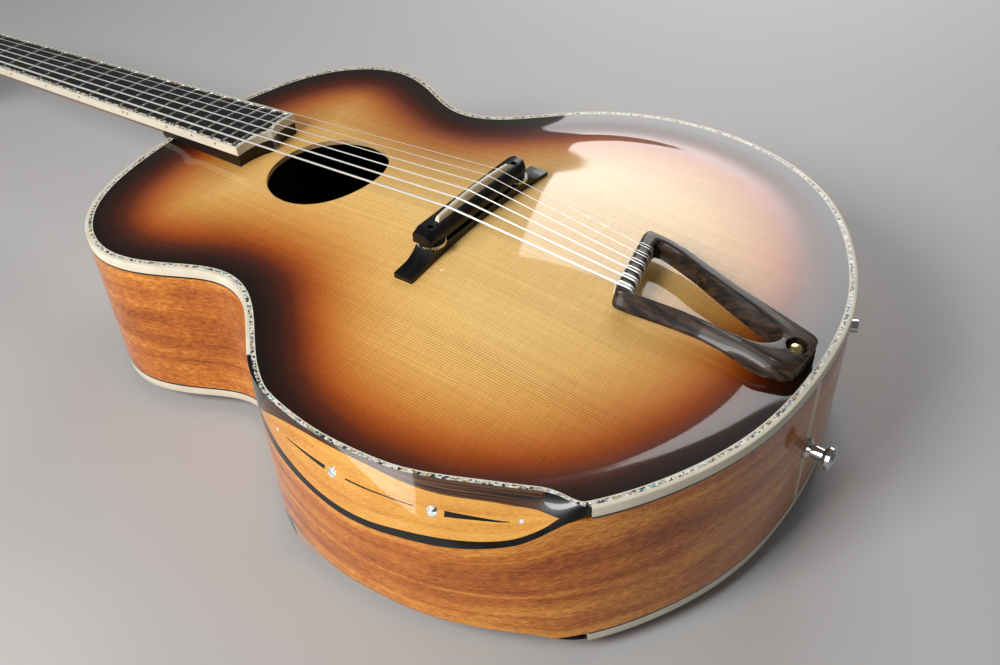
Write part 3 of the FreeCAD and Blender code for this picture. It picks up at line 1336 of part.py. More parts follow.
def build_hardware():
    out = Rotation(UP, ALONG * -1)
    bore = "sizes.strap_screw_across / 2"
    neck_radius, base, flange = (f"sizes.strap_{part}_across / 2" for part in ("neck", "base", "flange"))
    long, brim = "sizes.strap_long", "sizes.strap_flange_thick"
    button = turned("strap_turning", [
        (bore, "0"), (base, "0"), (base, "sizes.strap_base_thick"),
        (neck_radius, "sizes.strap_base_thick * 2"), (neck_radius, f"{long} - {brim} * 2"),
        (flange, f"{long} - {brim}"), (flange, f"{long} - {brim} / 3"),
        (f"{flange} * {strap_face_share}", long),
        (bore, long)], Placement(Vector(0, tail_end - d.strap_gap, strap_height), out))
    screw = turned("strap_screw", [
        ("0", "0"), (bore, bore), (bore, f"sizes.strap_screw_long + {long}"),
        (f"{bore} * 2", f"sizes.strap_screw_long + {long}"),
        (f"{bore} * 2 * {strap_face_share}", f"sizes.strap_screw_long + {long} + {bore} / 2"),
        ("0", f"sizes.strap_screw_long + {long} + {bore} / 2")],
        Placement(Vector(0, tail_end + d.strap_screw_long, strap_height), out))
    group("strap_button", [button, screw])
    barrel, brim, eye = "sizes.jack_across / 2", "sizes.jack_flange_across / 2", "sizes.jack_bore / 2"
    deep, full = "sizes.jack_in", "sizes.jack_in + sizes.jack_out"
    jack = turned("output_jack", [
        ("0", "0"), (barrel, "0"), (barrel, deep), (brim, deep), (brim, f"{deep} + sizes.jack_flange_thick"),
        (barrel, f"{deep} + sizes.jack_flange_thick"), (barrel, full), (eye, full),
        (eye, "sizes.jack_flange_thick"), ("0", "sizes.jack_flange_thick")],
        Placement(jack_foot - jack_out * d.jack_in, Rotation(UP, jack_out)))
    node(jack, "output_jack")
    place = Vector(d.pickup_aside, d.pickup_from_saddle, 0)
    ceiling = top_inner_height(place.x, place.y)
    start = place + UP * (ceiling - d.pickup_thick)
    disc = rod(d.pickup_across / 2, start, start + UP * d.pickup_thick * 2).cut(over_top_inner)
    plug = jack_foot - jack_out * d.jack_in
    turn = start - UP * d.lead_drop
    approach = plug - jack_out * d.lead_drop
    bends = [start, turn, approach, plug]
    lead = tube(rounded_path(bends, [None, d.lead_drop / 2, d.lead_drop / 2, None]), d.lead_across / 2)
    feature("pickup", Part.makeCompound(disc.Solids + [lead]))


build_box()
build_frame()
build_bevels()
build_fingerboard()
build_neck()
build_tuners()
build_cover()
build_strings()
build_bridge()
build_tailpiece()
build_hardware()
doc.recompute()

for item in doc.Objects:
    if "Invalid" in item.State or "Error" in item.State:
        raise RuntimeError(f"{item.Label} failed: {item.State}")
for item in nodes:
    if item.Shape.isNull() or not item.Shape.isValid() or not item.Shape.Solids:
        raise RuntimeError(f"{item.Label} has no valid solid")

os.makedirs("parts", exist_ok=True)
for item in nodes:
    item.Shape.exportStep(f"parts/{item.Label}.step")
print(f"{len(nodes)} parts written")
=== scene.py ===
import math

import bmesh
import bpy
import numpy as np
from mathutils import Matrix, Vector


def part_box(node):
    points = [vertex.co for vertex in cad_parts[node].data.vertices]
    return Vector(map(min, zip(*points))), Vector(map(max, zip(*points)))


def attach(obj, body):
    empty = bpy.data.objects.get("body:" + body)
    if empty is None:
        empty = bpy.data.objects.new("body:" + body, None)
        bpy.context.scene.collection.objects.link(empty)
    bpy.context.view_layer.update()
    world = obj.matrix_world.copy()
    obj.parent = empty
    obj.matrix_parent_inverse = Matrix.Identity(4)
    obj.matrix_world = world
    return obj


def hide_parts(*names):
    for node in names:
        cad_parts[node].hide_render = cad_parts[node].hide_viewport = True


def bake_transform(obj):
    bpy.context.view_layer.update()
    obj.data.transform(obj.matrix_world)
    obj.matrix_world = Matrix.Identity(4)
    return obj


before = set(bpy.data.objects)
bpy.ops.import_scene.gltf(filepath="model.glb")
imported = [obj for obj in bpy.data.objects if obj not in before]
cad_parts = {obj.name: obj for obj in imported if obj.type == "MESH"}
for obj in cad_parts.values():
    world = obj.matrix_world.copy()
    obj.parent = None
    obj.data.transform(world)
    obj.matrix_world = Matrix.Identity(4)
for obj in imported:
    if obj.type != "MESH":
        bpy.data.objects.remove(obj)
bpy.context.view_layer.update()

mm = 0.001
pi = math.pi
scene = bpy.context.scene


# Array tools

def stack(*columns):
    return np.stack(np.broadcast_arrays(*columns), -1)


# Points over flat places, at the given heights
def atHeight(flat, z):
    return stack(flat[..., 0], flat[..., 1], z)


def unit(vectors):
    return vectors / np.linalg.norm(vectors, axis=-1, keepdims=True)


# Length along a row of points, from the first point to each one
def runLength(points):
    return np.append(0, np.cumsum(np.linalg.norm(np.diff(points, axis=0), axis=1)))


def fullTurn(count):
    return np.linspace(0, 2 * pi, count, endpoint=False)


# Camera, at the place and tilt that the photograph was taken from

cameraView = dict(place=(-0.43951, -0.35877, 0.52682), azimuth=-52.06, elevation=40.62, roll=-2.67,
                  lens=37.66, sensor=36.0)


# Camera or lamp that faces away from the direction called back, level apart from its roll
def placeFacing(name, data, place, back, roll=0.0):
    right = unit(np.cross((0, 0, 1), back))
    up = np.cross(back, right)
    c, s = math.cos(roll), math.sin(roll)
    pose = np.eye(4)
    pose[:3] = stack(c * right + s * up, c * up - s * right, back, place)
    made = bpy.data.objects.new(name, data)
    made.matrix_world = Matrix(pose.tolist())
    scene.collection.objects.link(made)
    return made


def makeCamera(view):
    az, el, roll = (math.radians(view[key]) for key in ("azimuth", "elevation", "roll"))
    data = bpy.data.cameras.new("camera")
    data.lens, data.sensor_width, data.sensor_fit = view["lens"], view["sensor"], "HORIZONTAL"
    back = np.array([math.sin(az) * math.cos(el), -math.cos(az) * math.cos(el), math.sin(el)])
    scene.camera = placeFacing("camera", data, view["place"], back, roll)


makeCamera(cameraView)
print("camera in place")


# Mesh tools

# Skin through a row of closed profiles: rings[i, j] is point j of profile i. The row closes on
# itself or ends in two flat caps, and the faces are turned so that the volume comes out positive.
# Faces from band[0] to band[1] round the profile get the second finish.
def skin(rings, closed=False, along=None, around=None, band=None):
    stations, corners = rings.shape[:2]
    index = np.arange(stations * corners).reshape(stations, corners)
    here, there = (index, np.roll(index, -1, 0)) if closed else (index[:-1], index[1:])
    quads = np.stack([here, there, np.roll(there, -1, 1), np.roll(here, -1, 1)], -1)
    steps = quads.shape[0]
    along = np.arange(steps + 1.0) if along is None else along
    around = np.arange(corners + 1.0) if around is None else around
    u = np.stack([along[:-1], along[1:], along[1:], along[:-1]], -1)[:, None].repeat(corners, 1)
    v = np.stack([around[:-1], around[:-1], around[1:], around[1:]], -1)[None].repeat(steps, 0)
    faces, points = quads.reshape(-1, 4), rings.reshape(-1, 3)
    corner = points[faces]
    turn = np.cross(corner[:, 2] - corner[:, 0], corner[:, 3] - corner[:, 1])
    flip = np.sum(turn * (corner.mean(1) - points.mean(0))) < 0
    caps = [] if closed else [index[0], index[-1][::-1]]
    if flip:
        faces, u, v, caps = faces[:, ::-1], u[..., ::-1], v[..., ::-1], [cap[::-1] for cap in caps]
    inBand = np.zeros((steps, corners), int)
    if band is not None:
        inBand[:, band[0]:band[1]] = 1
    return dict(points=points, faces=faces, caps=caps, band=inBand.reshape(-1),
                uv=np.stack([u, v], -1).reshape(-1, 2))


# Slab between two grids of equal shape: each profile runs out along the upper grid, back along the lower
def slab(upper, lower, **options):
    return skin(np.concatenate([upper, lower[:, ::-1]], 1), **options)


# Round tube: circles of the given radius, square to the path, kept from twisting by a fixed side vector
def tube(path, radius, sideways=(0.0, 0.0, 1.0), sides=10):
    heading = unit(np.gradient(path, axis=0))
    first = unit(np.cross(heading, np.asarray(sideways)))
    second = np.cross(heading, first)
    turn = fullTurn(sides)[:, None]
    rings = path[:, None] + radius * (np.cos(turn) * first[:, None] + np.sin(turn) * second[:, None])
    return skin(rings, along=runLength(path), around=np.linspace(0, 1, sides + 1))


# Drill: an upright cylinder round the origin, between two heights
def drillBit(radius, sides, low, high):
    turn = fullTurn(sides)
    return np.stack([stack(radius * np.cos(turn), radius * np.sin(turn), z) for z in (low, high)])


def smoothByAngle(mesh, degrees):
    mesh.polygons.foreach_set("use_smooth", np.ones(len(mesh.polygons), bool))
    mesh.set_sharp_from_angle(angle=math.radians(degrees))


def showPiece(name, mesh, nodes, slot, body):
    piece = bpy.data.objects.new(name, mesh)
    scene.collection.objects.link(piece)
    if body:
        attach(piece, body)
    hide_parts(*nodes)
    return piece


# Copies a mesh into another with points that lie together made one, and its faces turned out where asked
def mergeInto(mesh, source, gap, turnOut=False):
    work = bmesh.new()
    work.from_mesh(source)
    bmesh.ops.remove_doubles(work, verts=work.verts, dist=gap)
    if turnOut:
        bmesh.ops.recalc_face_normals(work, faces=work.faces)
    work.to_mesh(mesh)
    work.free()


# One mesh of several skins; finish is the key of one finish, or of two with a space between
def makeMesh(name, parts, finish, merge=0.0):
    mesh = bpy.data.meshes.new(name)
    starts = np.cumsum([0] + [len(part["points"]) for part in parts])
    faces, bands, uvs = [], [], []
    for start, part in zip(starts, parts):
        faces += (part["faces"] + start).tolist() + [(cap + start).tolist() for cap in part["caps"]]
        bands += part["band"].tolist() + [0] * len(part["caps"])
        uvs += [part["uv"]] + [np.tile(part["uv"][:1], (len(cap), 1)) for cap in part["caps"]]
    mesh.from_pydata(np.concatenate([part["points"] for part in parts]).tolist(), [], faces)
    layer = mesh.uv_layers.new(name="wrap")
    layer.data.foreach_set("uv", np.concatenate(uvs).astype(np.float32).ravel())
    for key in finish.split():
        mesh.materials.append(finishes[key])
    mesh.polygons.foreach_set("material_index", bands)
    if merge:
        mergeInto(mesh, mesh, merge)
    return mesh


def addPiece(name, parts, finish, nodes, slot, body="guitar", sharp=38, merge=0.0):
    mesh = makeMesh(name, parts, finish, merge)
    smoothByAngle(mesh, sharp)
    return showPiece(name, mesh, nodes, slot, body)


# Piece that is left when drills are cut out of a block
def addDrilled(name, block, drills, finish, nodes, slot, body, sharp):
    meshes = makeMesh(name + "_block", [block], finish), makeMesh(name + "_drills", drills, finish)
    blank, cutter = (bpy.data.objects.new(mesh.name, mesh) for mesh in meshes)
    for one in (blank, cutter):
        scene.collection.objects.link(one)
    cut = blank.modifiers.new("cut", "BOOLEAN")
    cut.object, cut.operation, cut.solver = cutter, "DIFFERENCE", "EXACT"
    made = bpy.data.meshes.new_from_object(blank.evaluated_get(bpy.context.evaluated_depsgraph_get()))
    for one in (blank, cutter):
        bpy.data.objects.remove(one)
    smoothByAngle(made, sharp)
    return showPiece(name, made, nodes, slot, body)


# A CAD solid shown in a finish of its own: its loose triangles joined, round faces shaded smooth
def dressNode(node, finish, slot, body="guitar", sharp=32, touching=2e-6):
    mesh = bpy.data.meshes.new(node + "_look")
    mergeInto(mesh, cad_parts[node].data, touching, True)
    if "custom_normal" in mesh.attributes:
        mesh.attributes.remove(mesh.attributes["custom_normal"])
    mesh.materials.clear()
    mesh.materials.append(finishes[finish])
    smoothByAngle(mesh, sharp)
    return showPiece(node + "_look", mesh, [node], slot, body)


# Curve through all the given points with no jump in slope or bend, straight at its two ends
def naturalSpline(knots, values):
    gaps, count = np.diff(knots), len(knots)
    slopes = np.diff(values, axis=0) / gaps[:, None]
    rows = np.arange(1, count - 1)
    system, right = np.eye(count), np.zeros_like(values)
    system[rows, rows - 1], system[rows, rows + 1] = gaps[:-1], gaps[1:]
    system[rows, rows] = 2 * (gaps[:-1] + gaps[1:])
    right[1:-1] = 6 * np.diff(slopes, axis=0)
    bends = np.linalg.solve(system, right)

    def at(t):
        i = np.clip(np.searchsorted(knots, t, side="right") - 1, 0, count - 2)
        b = ((t - knots[i]) / gaps[i])[..., None]
        a, span = 1 - b, gaps[i][..., None] ** 2 / 6
        return a * values[i] + b * values[i + 1] + ((a**3 - a) * bends[i] + (b**3 - b) * bends[i + 1]) * span

    return at


# Curve over shares from 0 to 1, which never dips below the least of its points
def shareCurve(pairs):
    table = np.array(pairs, float)
    curve = naturalSpline(table[:, 0], table[:, 1:])
    return lambda share: np.maximum(curve(np.clip(share, 0, 1))[..., 0], table[:, 1].min())


# The sound box's outline, and the arch of its plates

box = dict(
    tail=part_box("back_binding")[0].y, neck=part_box("back_binding")[1].y,
    halfBout=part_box("back_binding")[1].x, backEdge=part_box("back_binding")[0].z,
    topEdge=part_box("top_binding")[1].z,
    topArch=14.5 * mm, topCrown=-25 * mm, backArch=13 * mm, backCrown=15 * mm, backFlat=0.55,
    archSeat=26 * mm, hollow=1.1 * mm, hollowFrom=31 * mm, hollowWide=11 * mm,
    sideThick=2.4 * mm, bindingHigh=6.5 * mm, bindingEase=0.7 * mm, bindingOver=0.1 * mm, lineHigh=1.3 * mm,
    purflingWide=2.2 * mm, innerLineWide=0.7 * mm, trimDeep=1.6 * mm, lineProud=0.02 * mm,
    shellProud=0.03 * mm, stripWide=6.5 * mm, plateThick=4.0 * mm,
    holeAcross=91 * mm, holeAlong=85 * mm, holeFromSaddle=133 * mm,
    # half width as a share of half the bout, place as a share of the length from the tail
    outlineShares=[(0, 0), (0.275, 0.010), (0.584, 0.0588), (0.804, 0.127), (0.950, 0.2245), (1.0, 0.343),
                   (0.964, 0.4343), (0.846, 0.527), (0.699, 0.595), (0.622, 0.647), (0.6125, 0.674),
                   (0.668, 0.739), (0.738, 0.813), (0.742, 0.8405), (0.677, 0.909), (0.5065, 0.963),
                   (0.285, 0.989), (0, 1)],
)
topEdge, backEdge = box["topEdge"], box["backEdge"]
sideHigh = topEdge - box["bindingHigh"] - box["lineHigh"]
sideLow = backEdge + box["bindingHigh"] + box["lineHigh"]


# Rim: a smooth curve through the outline's points and their mirror images, run past its join at both ends
def traceRim(samples=4000, wrap=6, step=1e-5):
    shares = np.array(box["outlineShares"])
    fromTail = shares[:, 1] * (box["neck"] - box["tail"])
    treble = stack(shares[:, 0] * box["halfBout"], box["tail"] + fromTail)
    loop = np.vstack([treble, treble[-2:0:-1] * (-1, 1)])
    corners = np.vstack([loop[-wrap:], loop, loop[:wrap + 1]])
    knots = runLength(corners)
    curve = naturalSpline(knots, corners)
    t = np.linspace(knots[wrap], knots[wrap + len(loop)], samples + 1)
    points, heading = curve(t), unit(curve(t + step) - curve(t - step))
    return dict(turn=np.linspace(0, 1, samples + 1), points=points, length=runLength(points),
                into=stack(-heading[:, 1], heading[:, 0]))


rim = traceRim()


# Points of the rim, the directions into the body and the lengths along it, for turns counted from the tail
def rimAt(turn):
    wrapped = np.mod(turn, 1)
    column = lambda values: np.interp(wrapped, rim["turn"], values)
    points, into = (stack(*map(column, rim[key].T)) for key in ("points", "into"))
    return points, into, column(rim["length"]) + np.floor(turn) * rim["length"][-1]


def bassTurn(y):
    bass = rim["turn"] >= 0.5
    return float(np.interp(-y, -rim["points"][bass, 1], rim["turn"][bass]))


def halfWidth(y):
    treble = rim["turn"] <= 0.5
    return np.interp(y, rim["points"][treble, 1], rim["points"][treble, 0])


# Crown: square of a cosine across times a cosine along, which dies out at the flat border
def crown(flat, centre):
    x, y = flat[..., 0], flat[..., 1]
    half = np.maximum(halfWidth(y) - box["archSeat"], 1e-4)
    reach = np.where(y > centre, box["neck"] - box["archSeat"] - centre,
                     centre - box["tail"] - box["archSeat"])
    across, along = np.clip(np.abs(x) / half, 0, 1), np.clip(np.abs(y - centre) / reach, 0, 1)
    return (np.cos(pi / 2 * across) * np.cos(pi / 2 * along)) ** 2


def topHeight(flat):
    return topEdge + box["topArch"] * crown(flat, box["topCrown"])


# Back: a smooth step of the crown, down from the edge to a broad flat that the guitar lies on
def backHeight(flat):
    s = np.minimum(crown(flat, box["backCrown"]) / box["backFlat"], 1)
    return np.maximum(backEdge - box["backArch"] * s * s * (3 - 2 * s), 0)


# Least distance from each place to the rim, worked out for a share of the places at a time
def fromRim(flat, shares=24, every=12):
    line = rim["points"][None, ::every]
    nearest = [np.sqrt(((some[:, None] - line) ** 2).sum(-1)).min(1)
               for some in np.array_split(flat.reshape(-1, 2), shares)]
    return np.concatenate(nearest).reshape(flat.shape[:-1])


# The shallow hollow carved round the soundboard's border: a bell curve of the distance from the rim
def borderHollow(away):
    return box["hollow"] * np.exp(-(((away - box["hollowFrom"]) / box["hollowWide"]) ** 2))


# Bevels, carved between a line on a plate and a line on the bass side

bevelShape = dict(
    inset=[(0, .01), (.08, .04), (.14, .15), (.22, .35), (.31, .53), (.38, .65), (.46, .76), (.55, .83),
           (.63, .92), (.72, 1), (.80, .98), (.88, .85), (.915, .745), (.945, .54), (.975, .22), (1, .02)],
    drop=[(0, .12), (.05, .47), (.115, .83), (.166, .90), (.28, .92), (.37, .96), (.45, 1), (.52, .975),
          (.60, .91), (.68, .865), (.755, .80), (.805, .73), (.85, .64), (.893, .475), (.926, .325),
          (.968, .175), (1, .12)],
    bulge=0.10, veneer=2.4 * mm, edgingWide=3.0 * mm,
)
bevelCurve = {key: shareCurve(bevelShape[key]) for key in ("inset", "drop")}
armBevel = dict(start=bassTurn(39 * mm), end=bassTurn(-188 * mm), inset=20 * mm, drop=34.5 * mm,
                edge=topEdge, up=1)
ribBevel = dict(start=bassTurn(20 * mm), end=bassTurn(-188 * mm), inset=15 * mm, drop=22 * mm,
                edge=backEdge, up=-1)


# How far a bevel cuts in from the rim or down from the edge, which is nothing beyond its two ends
def bevelCut(bevel, turn, way):
    share = (np.mod(turn, 1) - bevel["start"]) / (bevel["end"] - bevel["start"])
    return np.where((share > 0) & (share < 1), bevel[way] * bevelCurve[way](share), 0)


def bevelTurn(bevel, share):
    return bevel["start"] + (bevel["end"] - bevel["start"]) * share


# Each cross-section is an arc from the plate's line to the side's line that bulges by a share of the inset
def bevelArc(bevel, share):
    points, into, _ = rimAt(bevelTurn(bevel, share))
    inset, drop = (bevel[way] * bevelCurve[way](share) for way in ("inset", "drop"))
    inner = atHeight(points + into * inset[..., None], bevel["edge"])
    outer = atHeight(points, bevel["edge"] - bevel["up"] * drop)
    half = np.linalg.norm(outer - inner, axis=-1) / 2
    sag = bevelShape["bulge"] * inset
    radius = (half**2 + sag**2) / (2 * sag)
    return dict(middle=(inner + outer) / 2, chord=(outer - inner) / (2 * half)[..., None], radius=radius,
                sag=sag, spread=np.arctan2(half, radius - sag),
                out=unit(atHeight(-into, bevel["up"] * inset / drop)))


# Points of a bevel: share runs along it, across from the plate's line to the side's line, depth goes into it
def bevelSkin(bevel, share, across, depth=0.0):
    share, across = np.broadcast_arrays(np.asarray(share, float), across)
    arc = bevelArc(bevel, share)
    angle = (2 * across - 1) * arc["spread"]
    sine, cosine = np.sin(angle)[..., None], np.cos(angle)[..., None]
    radius, sag = arc["radius"][..., None], arc["sag"][..., None]
    surface = arc["middle"] + arc["chord"] * radius * sine + arc["out"] * (radius * cosine - radius + sag)
    return surface - depth * (arc["chord"] * sine + arc["out"] * cosine)


# Width of a bevel, measured round its arc
def bevelWidth(bevel, share):
    arc = bevelArc(bevel, np.asarray(share, float))
    return 2 * arc["spread"] * arc["radius"]


# Strip of a bevel between two lines, near and far, given as shares of the way across it
def bevelStrip(bevel, shares, near, far, proud=0.0, deep=bevelShape["veneer"], columns=14):
    blend = np.linspace(0, 1, columns)
    across = near[:, None] + (far - near)[:, None] * blend
    upper, lower = (bevelSkin(bevel, shares[:, None], across, depth) for depth in (-proud, deep))
    return slab(upper, lower, along=rimAt(bevelTurn(bevel, shares))[2],
                around=np.concatenate([blend, blend[::-1], [0]]) * float(bevelWidth(bevel, 0.5)))


# Finishes

def newFinish(name, roughness, metallic=0.0, coat=0.0, coatRough=0.03, shine=0.3):
    made = bpy.data.materials.new(name)
    made.use_nodes = True
    values = {"Roughness": roughness, "Metallic": metallic, "Coat Weight": coat, "Coat Roughness": coatRough,
              "Coat IOR": 1.38, "Specular IOR Level": shine}
    for key, value in values.items():
        made.node_tree.nodes["Principled BSDF"].inputs[key].default_value = value
    return made, made.node_tree


# Links node outputs to the sockets of a finish's own shader
def feed(tree, sockets):
    shader = tree.nodes["Principled BSDF"]
    for key, value in sockets.items():
        tree.links.new(value, shader.inputs[key])


def put(tree, kind, sockets, **settings):
    made = tree.nodes.new("ShaderNode" + kind)
    for key, value in settings.items():
        setattr(made, key, value)
    for key, value in sockets.items():
        if isinstance(value, bpy.types.NodeSocket):
            tree.links.new(value, made.inputs[key])
        else:
            made.inputs[key].default_value = value
    return made


def placeOn(tree, scale, source="Object"):
    spot = put(tree, "TexCoord", {}).outputs[source]
    return put(tree, "Mapping", {"Vector": spot, "Scale": scale}).outputs["Vector"]


def grainNoise(tree, scale, detail=3.0, rough=0.5, source="Object", warp=0.0):
    sockets = {"Vector": placeOn(tree, scale, source), "Scale": 1.0, "Detail": detail, "Roughness": rough,
               "Distortion": warp}
    return put(tree, "TexNoise", sockets).outputs["Fac"]


def ramp(tree, fac, stops):
    made = put(tree, "ValToRGB", {"Fac": fac})
    points = made.color_ramp.elements
    while len(points) < len(stops):
        points.new(0.5)
    for point, (place, colour) in zip(points, stops):
        point.position, point.color = place, (*colour, 1)
    return made.outputs["Color"]


def calc(tree, operation, a, b=0.0, c=0.0):
    return put(tree, "Math", {0: a, 1: b, 2: c}, operation=operation).outputs[0]


# A number plus values times their weights
def weighted(tree, total, *terms):
    for value, weight in terms:
        total = calc(tree, "MULTIPLY_ADD", value, weight, total)
    return total


sunburst = dict(
    wide=139 * mm, wander=12 * mm, lineScale=186.0,
    # colours by the distance from the rim, as a share of the width
    stops=[(0.05, (0.006, 0.002, 0.001)), (0.13, (0.028, 0.005, 0.001)), (0.20, (0.095, 0.014, 0.002)),
           (0.27, (0.26, 0.048, 0.005)), (0.33, (0.41, 0.10, 0.013)), (0.40, (0.52, 0.18, 0.030)),
           (0.50, (0.62, 0.28, 0.062)), (0.67, (0.72, 0.41, 0.12)), (0.95, (0.76, 0.48, 0.165))],
)


# Sunburst by distance from the rim, over fine straight grain along the body
def spruceFinish():
    made, tree = newFinish("sunburst_spruce", 0.42, coat=1.0, coatRough=0.05, shine=0.08)
    edge = put(tree, "Attribute", {}, attribute_name="edge").outputs["Fac"]
    cloud = grainNoise(tree, (9, 9, 9), 2.0)
    place = weighted(tree, calc(tree, "SUBTRACT", edge, sunburst["wander"] / 2), (cloud, sunburst["wander"]))
    burst = ramp(tree, calc(tree, "DIVIDE", place, sunburst["wide"]), sunburst["stops"])
    streak = grainNoise(tree, (700, 5, 5), 2.0)
    waves = {"Vector": placeOn(tree, (1, 1, 1)), "Scale": sunburst["lineScale"], "Distortion": 2.2,
             "Detail": 2.0, "Detail Scale": 0.25}
    line = put(tree, "TexWave", waves, bands_direction="X").outputs["Fac"]
    depth = calc(tree, "MULTIPLY", line, grainNoise(tree, (26, 2.5, 2.5), 3.0))  # lines show more in places
    silk = grainNoise(tree, (60, 420, 60), 2.0)
    speck = grainNoise(tree, (900, 700, 700), 2.0)
    tone = weighted(tree, 0.82, (speck, 0.22), (silk, 0.18), (streak, 0.34), (depth, -0.66))
    shade = put(tree, "CombineColor", {0: tone, 1: calc(tree, "POWER", tone, 1.25),
                                       2: calc(tree, "POWER", tone, 1.5)}).outputs["Color"]
    mixed = put(tree, "Mix", {0: 1.0, 6: burst, 7: shade}, data_type="RGBA", blend_type="MULTIPLY")
    feed(tree, {"Base Color": mixed.outputs[2]})
    return made


# Ribbon-striped wood: bands along the length, broken into blocks, with fine pores
def ribbonFinish(name, dark, middle, light, coat, size=1.0):
    made, tree = newFinish(name, 0.38, coat=coat, coatRough=0.05, shine=0.12)
    ribbon = grainNoise(tree, (4 * size, 58 * size, 1), 4.0, 0.6, "UV", 0.5)
    flame = grainNoise(tree, (30 * size, 40 * size, 1), 3.0, 0.55, "UV", 0.9)
    pores = grainNoise(tree, (210 * size, 620 * size, 1), 3.0, 0.65, "UV")
    tone = weighted(tree, -0.58, (pores, 0.80), (flame, 0.35), (ribbon, 1.0))
    feed(tree, {"Base Color": ramp(tree, tone, [(0.22, dark), (0.5, middle), (0.78, light)])})
    return made


# Dark wood with thin paler stripes along one direction
def stripedFinish(name, dark, light, stretch, roughness, coat, source="Object", contrast=(0.42, 0.66)):
    made, tree = newFinish(name, roughness, coat=coat, coatRough=0.06, shine=0.2)
    stripe = grainNoise(tree, stretch, 4.0, 0.6, source, 0.3)
    fine = grainNoise(tree, tuple(3.5 * s for s in stretch), 2.0, 0.6, source)
    feed(tree, {"Base Color": ramp(tree, stripe, [(contrast[0], dark), (contrast[1], light)]),
                "Roughness": weighted(tree, roughness - 0.07, (fine, 0.14))})
    return made


# Plain stuff with a faint cloud in its colour and its polish
def mottledFinish(name, dark, light, scale, roughness, metallic=0.0, coat=0.0):
    made, tree = newFinish(name, roughness, metallic, coat)
    cloud = grainNoise(tree, (scale, scale, scale), 3.0)
    feed(tree, {"Base Color": ramp(tree, cloud, [(0.3, dark), (0.7, light)]),
                "Roughness": weighted(tree, roughness - 0.05, (cloud, 0.1))})
    return made


# Tints of the shell's chips: dark, cream, green, white, brown and rose, each with its own spread
shellTints = [(0.05, (0.02, 0.02, 0.02)), (0.25, (0.05, 0.05, 0.06)), (0.27, (0.62, 0.58, 0.44)),
              (0.38, (0.70, 0.66, 0.54)), (0.40, (0.14, 0.28, 0.30)), (0.48, (0.30, 0.46, 0.45)),
              (0.50, (0.76, 0.76, 0.72)), (0.62, (0.70, 0.68, 0.60)), (0.64, (0.26, 0.17, 0.06)),
              (0.74, (0.52, 0.40, 0.19)), (0.76, (0.24, 0.23, 0.30)), (0.90, (0.70, 0.68, 0.62))]


# Shell mosaic: each chip has its own tint, with a swirl inside it
def shellFinish(name, cell):
    made, tree = newFinish(name, 0.3, coat=0.3)
    chip = put(tree, "TexVoronoi", {"Vector": placeOn(tree, (1, 1, 1)), "Scale": cell}).outputs["Color"]
    tint = put(tree, "SeparateColor", {0: chip}).outputs[0]
    swirl = grainNoise(tree, (320, 320, 320), 3.0, 0.6, "Object", 2.5)
    hue = weighted(tree, calc(tree, "MULTIPLY", swirl, 0.14), (tint, 0.86))
    feed(tree, {"Base Color": ramp(tree, hue, shellTints)})
    return made


# Bright wire; the wound strings carry a fine spiral along their length
def wireFinish(name, pitch, strength):
    made, tree = newFinish(name, 0.36, 0.5)
    cloud = grainNoise(tree, (120, 120, 120), 2.0)
    spiral = put(tree, "TexWave", {"Vector": placeOn(tree, (1, 0, 0), "UV"), "Scale": pi / 10 / pitch},
                 bands_direction="X").outputs["Fac"]
    bump = put(tree, "Bump", {"Height": spiral, "Strength": strength, "Distance": 0.06 * mm})
    feed(tree, {"Base Color": ramp(tree, cloud, [(0.3, (0.80, 0.79, 0.76)), (0.7, (0.88, 0.87, 0.85))]),
                "Normal": bump.outputs["Normal"]})
    return made


finishes = dict(
    top=spruceFinish(),
    sides=ribbonFinish("ribbon_mahogany", (0.2, 0.036, 0.004), (0.46, 0.13, 0.016), (0.76, 0.33, 0.056), 0.7),
    field=ribbonFinish("bevel_wood", (0.42, 0.14, 0.022), (0.60, 0.27, 0.050), (0.70, 0.38, 0.085), 1.0, 1.6),
    shell=shellFinish("abalone", 620.0),
    dotShell=shellFinish("abalone_dot", 650.0),
    plainWire=wireFinish("plain_wire", 0.3 * mm, 0.0),
    woundWire=wireFinish("wound_wire", 0.30 * mm, 0.2),
)
# Name, dark and light colour, stretch of the grain along x, y and z, roughness, coat
stripedWoods = dict(
    spruceEdge=("spruce_edge", (0.42, 0.26, 0.11), (0.62, 0.44, 0.22), (300, 12, 900), 0.45, 0.3),
    inside=("bare_spruce", (0.34, 0.22, 0.10), (0.50, 0.35, 0.18), (400, 6, 6), 0.7, 0.0),
    # Inside faces and linings are painted near black: painted shade for the dark inside of the closed body,
    # not the wood's own colour
    innerBack=("inside_painted_shade", (0.020, 0.010, 0.005), (0.055, 0.028, 0.013), (120, 4, 4), 0.8, 0.0),
    lining=("lining_wood", (0.040, 0.020, 0.009), (0.080, 0.040, 0.017), (60, 60, 300), 0.7, 0.0),
    back=("back_mahogany", (0.20, 0.06, 0.015), (0.44, 0.17, 0.045), (120, 4, 4), 0.35, 0.8),
    strip=("tail_strip_wood", (0.58, 0.43, 0.26), (0.74, 0.60, 0.40), (200, 200, 10), 0.4, 0.5),
    band=("dark_rosewood", (0.006, 0.003, 0.002), (0.16, 0.060, 0.022), (9, 300, 1), 0.25, 1.0, "UV"),
    ebony=("ebony", (0.003, 0.003, 0.003), (0.014, 0.012, 0.010), (260, 9, 260), 0.33, 0.25),
    bridgeEbony=("bridge_ebony", (0.002, 0.002, 0.002), (0.007, 0.006, 0.006), (9, 300, 300), 0.34, 0.3),
    neck=("neck_mahogany", (0.16, 0.05, 0.014), (0.36, 0.14, 0.04), (150, 5, 150), 0.38, 0.5),
    tailWood=("tail_rosewood", (0.007, 0.005, 0.004), (0.060, 0.034, 0.019), (460, 10, 200), 0.36, 0.3,
              "Object", (0.40, 0.62)),
)
